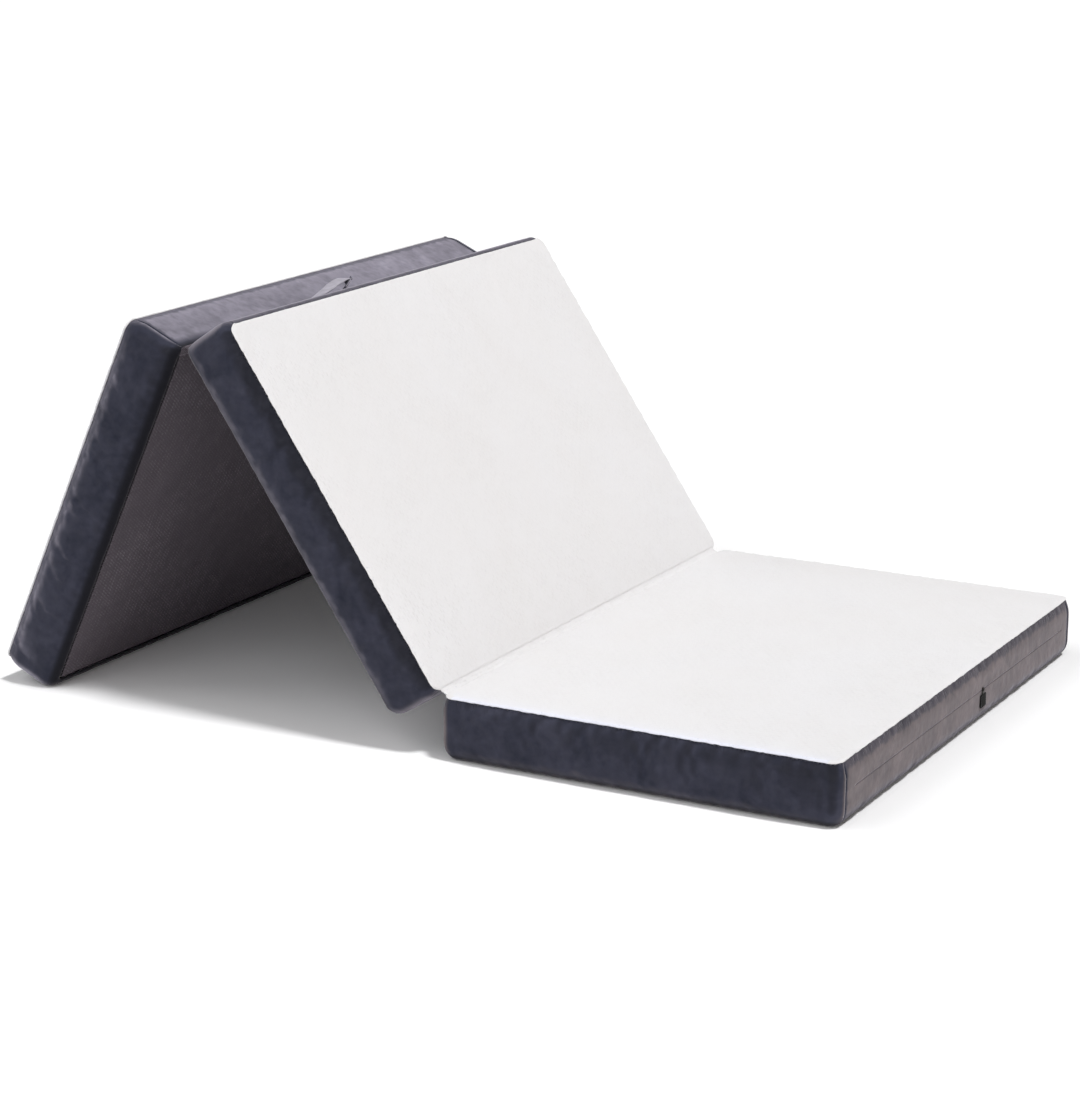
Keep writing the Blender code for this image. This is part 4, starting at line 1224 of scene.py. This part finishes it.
def make_pull_tab(panel):
    """A folded cloth tab sewn round the lower part of the zip's pull, to hold it by."""
    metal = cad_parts[f"zip_pull_{panel.letter}"].data
    points = np.array([v.co for v in metal.vertices])
    middle = points.mean(axis=0)
    along, _, outward = np.linalg.svd(points - middle, full_matrices=False)[2]
    reach = (points - middle) @ along
    if reach.max() < -reach.min():
        along, reach = -along, -reach
    if (middle - panel.place(np.zeros((1, 3)))[0]) @ outward < 0:
        outward = -outward
    across = np.cross(along, outward)
    back = ((points - middle) @ outward).min()
    sides = (points - middle) @ across
    centre = middle + across * (sides.max() + sides.min()) / 2

    def place(spots):
        x, y, z = parts(spots)
        return centre + x[..., None] * across + y[..., None] * along + z[..., None] * outward

    start, end = reach.max() - 0.0177, reach.max() + 0.0028
    low, high = back - 0.00015, back + 0.0025
    shares = np.array((0.0, 0.012, 0.04, 0.09, 0.2, 0.35, 0.5, 0.65, 0.8, 0.91, 0.96, 0.988, 1.0))
    turn = np.arange(32) * math.tau / 32
    skin, rings = Skin(), []
    for share in shares:
        round_off = math.sqrt(1 - min(max((abs(2 * share - 1) - 0.82) / 0.18, 0.0), 1.0) ** 2)
        width = (0.0105 + 0.0013 * share) * (0.88 + 0.12 * round_off)
        side = np.sign(np.cos(turn)) * np.abs(np.cos(turn)) ** 0.35
        face = np.sign(np.sin(turn)) * np.abs(np.sin(turn)) ** 0.6
        groove = 1 - 0.28 * np.exp(-(((np.abs(side) - 0.76) / 0.07) ** 2))
        thick = (high - low) / 2 * (0.42 + 0.58 * round_off) * groove
        z = (high + low) / 2 + face * thick
        y = np.full(32, start + (end - start) * share)
        rings.append(skin.add(np.stack((side * width, y, z), axis=1), 0.0, 0.0))
    around = np.linspace(0.0, 0.050, 33)
    for k in range(len(rings) - 1):
        skin.band(rings[k], rings[k + 1], around, shares[k] * 0.02, shares[k + 1] * 0.02, flip=True)
    skin.cap(rings[0])
    skin.cap(rings[-1], reverse=True)
    tab = skin.piece(f"pull_tab_{panel.letter}", TAB_CLOTH, place)
    sewn = [(x * (0.0088 + 0.0010 * s), start + (end - start) * s, high - 0.0003)
            for x, s in ((-1, 0.10), (-1, 0.5), (-1, 0.90), (1, 0.90), (1, 0.5), (1, 0.10), (-1, 0.10))]
    thread = stitched(f"pull_tab_stitches_{panel.letter}", [sewn], DARK_THREAD, place, 25, pitch=0.0026,
                      length=0.0018, width=0.0006, height=0.0006)
    for obj in (tab, thread):
        dress(obj, f"pull_{panel.letter}", "zip_tape")


# Between the panels


def strip(name, path, thickness, finish, ripple, seed, origin):
    """A narrow strip of cloth along a path in the XZ plane, puckered along its length in Y."""
    half = PANEL_WIDTH / 2 - PLAN_RADIUS
    path = np.array(path, float)
    tangent = np.gradient(path, axis=0)
    tangent /= np.linalg.norm(tangent, axis=1, keepdims=True)
    normal = np.stack((-tangent[:, 1], tangent[:, 0]), axis=1)
    spots = np.linspace(-half, half, 481)
    # Painted shade in the puckers, through the seam mark: strongest at the front, weaker towards the back
    depth = np.interp(spots, (-half, -0.1, half), (1.0, 0.5, 0.2))
    inner = np.sin(np.pi * np.linspace(0, 1, len(path))) ** 0.7
    skin = Skin()
    rows = []
    for side in (1, -1):
        for k in (range(len(path)) if side > 0 else reversed(range(len(path)))):
            at = np.stack((np.full_like(spots, path[k][0]), spots, np.full_like(spots, path[k][1])), axis=1)
            wave = uneven(at, (0.004, 0.0075, 0.004), seed) * 0.6
            wave = wave + uneven(at, (0.004, 0.0036, 0.004), seed + 1) * 0.4
            move = side * thickness / 2 + wave * ripple * inner[k]
            at[:, 0] += normal[k][0] * move
            at[:, 2] += normal[k][1] * move
            rows.append(skin.add(at, depth * np.clip(-wave * 1.8, 0, 1)))
    width = so_far(gaps(path))
    width = np.concatenate((width, width[::-1]))
    inside = spots < half
    for k in range(len(rows)):
        after = (k + 1) % len(rows)
        skin.band(rows[k], rows[after], spots, width[k], width[after], flip=True, keep=inside)
    skin.cap([row[0] for row in rows], reverse=True)
    skin.cap([row[-1] for row in rows])
    return skin.piece(name, finish, lambda points: points + np.array(origin))


def bow(start, end, corner, steps=10):
    """A smooth curve between two points, pulled towards a corner between them."""
    t = np.linspace(0, 1, steps + 1)[:, None]
    start, end, corner = np.array(start), np.array(end), np.array(corner)
    return (1 - t) ** 2 * start + 2 * t * (1 - t) * corner + t**2 * end


def turn_xz(point, angle):
    """A point of the XZ plane after a turn about the Y axis."""
    x, z = point
    return (x * math.cos(angle) + z * math.sin(angle), z * math.cos(angle) - x * math.sin(angle))


def make_hinge(name, path, thickness, finish, ripple, seed, hinge, node):
    """A strip of cloth across a hinge, curved between its seams on two panels, in place of the hinge's part.
    """
    obj = strip(name, path, thickness, finish, ripple, seed, hinge)
    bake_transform(obj)
    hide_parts(node)


def make_hinges():
    # From A's top edge to B's, down into the crease
    depth = HINGE_RISE + 0.00125
    inner = HINGE_CLEARANCE + SEWN_INSET - 0.0003 + 0.0016
    corner = (-depth * math.tan(LEAN_B / 2), -depth * 0.9)
    path = bow((inner, -depth), turn_xz((-inner, -depth), LEAN_B), corner)
    make_hinge("crease_strip", path, CREASE_THICKNESS, KNIT, 0.0009, 71, HINGE_AB,
               "hinge_cloth_ab")

    # From B's bottom edge to C's, with a lap on each
    depth = HINGE_RISE - 0.0003 - 0.0007
    fold = LEAN_B + LEAN_C
    across = HINGE_CLEARANCE + SEWN_INSET
    lap = across + 0.010
    start, start_lap = (across, depth), (lap, depth)
    end, end_lap = turn_xz((-across, depth), -fold), turn_xz((-lap, depth), -fold)
    middle = bow(start, end, (-depth * math.tan(fold / 2), depth))
    path = np.concatenate((
        np.linspace(start_lap, start, 4)[:-1], middle, np.linspace(end, end_lap, 4)[1:]))
    path = np.array([turn_xz(p, LEAN_B) for p in path])
    make_hinge("ridge_strip", path, RIDGE_THICKNESS, TWILL, 0.0006, 73, HINGE_BC,
               "hinge_cloth_bc")


def make_handle(panel):
    """A velvet strap with two sewn feet, its loop leaning over the back foot."""
    clear = 0.0003 + HANDLE_THICKNESS / 2
    path = [(-HANDLE_SPAN / 2 - HANDLE_FOOT, clear)]
    path += [(HANDLE_SPAN * (along - 0.5), clear + HANDLE_RISE * rise) for along, rise in HANDLE_LOOP]
    path.append((HANDLE_SPAN / 2 + HANDLE_FOOT, clear))
    path = np.array(path)
    for _ in range(3):
        cut = np.stack((0.75 * path[:-1] + 0.25 * path[1:], 0.25 * path[:-1] + 0.75 * path[1:]), axis=1)
        path = np.concatenate((path[:1], cut.reshape(-1, 2), path[-1:]))
    steps = so_far(np.hypot(*np.diff(path, axis=0).T))
    total = steps[-1]
    even = np.linspace(0, total, 260)
    path = np.stack((np.interp(even, steps, path[:, 0]), np.interp(even, steps, path[:, 1])), axis=1)

    def lines_at(offsets, lift):
        """Points across the strap: share of its half width, height over its middle."""
        rows = []
        for k, (along, rise) in enumerate(path):
            run = path[min(k + 1, len(path) - 1)] - path[max(k - 1, 0)]
            run = run / np.linalg.norm(run)
            tilt = HANDLE_TILT * max((rise - clear) / HANDLE_RISE, 0.0) ** 0.5
            outward = np.array([-run[0], -run[1], 0.0])
            upward = np.array([0.0, 0.0, 1.0])
            wide = upward * math.cos(tilt) - outward * math.sin(tilt)
            thick = outward * math.cos(tilt) + upward * math.sin(tilt)
            centre = np.array([-rise, along, 0.0])
            ripple = 0.00025 * math.sin(even[k] / 0.0052) + 0.0003 * math.sin(even[k] / 0.017 + 1.0)
            half_wide = HANDLE_WIDTH / 2 + ripple
            rows.append([centre + wide * w * half_wide + thick * (t + lift) for w, t in offsets])
        return np.array(rows)

    half = HANDLE_THICKNESS / 2
    section = []
    for w in np.linspace(1, -1, 15):
        edge = 1 - ease(abs(w), 0.86, 1.0)
        groove = 0.30 * math.exp(-(((abs(w) - 0.80) / 0.035) ** 2))
        section.append((w, half * (0.25 + 0.75 * edge) * (1 - groove)))
    section += [(w, -t) for w, t in reversed(section)]
    rows = lines_at(section, 0.0)

    def place(points):
        return panel.place(np.asarray(points) + np.array((-PANEL_LENGTH / 2, HANDLE_CENTRE_Y, HANDLE_HEIGHT)))

    around = so_far(gaps(np.concatenate((rows[0], rows[0][:1]))))
    skin = Skin()
    shaded = np.array([0.0 if t > 0 else 0.80 for w, t in section])
    ids = [skin.add(row, 0.12, shaded) for row in rows]
    for k in range(len(ids) - 1):
        skin.band(ids[k], ids[k + 1], around, even[k], even[k + 1], flip=True)
    skin.cap(ids[0])
    skin.cap(ids[-1], reverse=True)
    strap = skin.piece("strap_handle", STRAP_VELVET, place)

    # A row of stitches along each edge, and a box with a cross on each foot
    sewn = [[row[0] for row in lines_at([(w, 0.0)], half * 0.72)] for w in (0.80, -0.80)]
    foot = HANDLE_FOOT * 0.86
    for base, towards in ((0, 1), (len(path) - 1, -1)):
        near = base + towards * 4
        far = int(np.argmin(np.abs(even - (foot if towards > 0 else total - foot))))
        for a, b in (((near, 0.62), (far, -0.62)), ((near, -0.62), (far, 0.62)),
                     ((near, 0.62), (near, -0.62)), ((far, 0.62), (far, -0.62))):
            first, last = (lines_at([(w, 0.0)], half)[spot][0] for spot, w in (a, b))
            sewn.append([first + (last - first) * t for t in np.linspace(0, 1, 9)])
    thread = stitched("strap_stitches", sewn, DARK_THREAD, place, 24, pitch=0.0040, length=0.0028,
                      width=0.0009, height=0.0009)
    axis = panel.place(np.array([[-1.0, 0, 0]]))[0] - panel.place(np.array([[0.0, 0, 0]]))[0]
    anchor = panel.place(np.array([[-PANEL_LENGTH / 2, 0.0, HANDLE_HEIGHT]]))[0]
    for obj, nodes in ((strap, ("carry_handle",)), (thread, ())):
        dress(obj, panel.body, "velvet", *nodes)
        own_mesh(obj)


# Floor, light and camera


def make_stage():
    f = Finish("pale floor", Specular_IOR_Level=0.1, Emission_Strength=1.0)
    g = f.graph
    colour = g.mix(f.clouds(0.9), (0.985, 0.985, 0.985), (0.998, 0.998, 0.998))
    light = g.add("ShaderNodeLightPath").outputs["Is Camera Ray"]
    glow = g.times(light, 0.02)
    tint = g.add("ShaderNodeCombineXYZ", {0: glow, 1: glow, 2: glow}).outputs[0]
    g.tree.links.new(tint, f.shader.inputs["Emission Color"])
    f.close(colour, g.span(f.clouds(0.2), 0.0, 1.0, 0.9, 1.0), (f.clouds(0.02), 0.0002))
    mesh = bpy.data.meshes.new("floor")
    reach = 60.0
    corners = [(-reach, -reach, 0), (reach, -reach, 0), (reach, reach, 0), (-reach, reach, 0)]
    mesh.from_pydata(corners, [], [(0, 1, 2, 3)])
    mesh.materials.append(f.material)
    put("floor", mesh)

    world = bpy.data.worlds.new("room")
    bpy.context.scene.world = world
    world.use_nodes = True
    g = Graph(world.node_tree)
    background = world.node_tree.nodes["Background"]
    path = g.add("ShaderNodeLightPath").outputs
    mirrored = g.math("MAXIMUM", path["Is Glossy Ray"], path["Is Transmission Ray"])
    seen = g.math("MAXIMUM", path["Is Camera Ray"], mirrored)
    strength = g.span(seen, 0.0, 1.0, 0.05, 1.0)
    background.inputs["Color"].default_value = (1.0, 1.0, 1.0, 1.0)
    world.node_tree.links.new(strength, background.inputs["Strength"])

    for name, way, energy, spread_of, tint in (
        ("lamp above", (0.36, -0.02, 0.93), 2.18, 9, (0.995, 0.995, 1.0)),
        ("window at the right", (0.90, -0.25, 0.35), 0.52, 50, (1.0, 0.93, 0.90)),
        ("window in front", (0.05, -0.85, 0.53), 0.86, 60, (0.98, 0.985, 1.0)),
        ("window at the left", (-0.60, -0.30, 0.74), 0.86, 46, (0.985, 0.985, 1.0)),
    ):
        lamp = bpy.data.lights.new(name, "SUN")
        lamp.energy = energy
        lamp.angle = math.radians(spread_of)
        lamp.color = tint
        put(name, lamp).rotation_euler = Vector(way).to_track_quat("Z", "Y").to_euler()


def make_camera():
    turn, tilt, roll = CAMERA_TURN, CAMERA_TILT, CAMERA_ROLL
    forward = Vector((math.cos(tilt) * math.cos(turn), math.cos(tilt) * math.sin(turn), math.sin(tilt)))
    right = forward.cross(Vector((0, 0, 1))).normalized()
    up = right.cross(forward)
    aside = right * math.cos(roll) + up * math.sin(roll)
    above = up * math.cos(roll) - right * math.sin(roll)
    data = bpy.data.cameras.new("camera")
    data.lens = FOCUS * SENSOR / PHOTO_HEIGHT
    data.clip_end = 200
    obj = put("camera", data)
    matrix = Matrix((aside, above, -forward)).transposed().to_4x4()
    matrix.translation = CAMERA_PLACE
    obj.matrix_world = matrix
    bpy.context.scene.camera = obj


make_camera()
make_stage()
for panel in PANELS:
    found = inflate(panel)
    make_border(panel, found)
    make_top(panel, found)
    make_rolled_edge(panel)
    make_bottom(panel)
    make_foam(panel)
    make_tapes(panel)
    for kind in ("slider", "pull"):
        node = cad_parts[f"zip_{kind}_{panel.letter}"]
        for place in node.material_slots:
            place.material = METAL
    make_pull_tab(panel)
make_hinges()
make_handle(PANELS[1])

bpy.context.scene.view_settings.view_transform = "Standard"
bpy.context.view_layer.update()
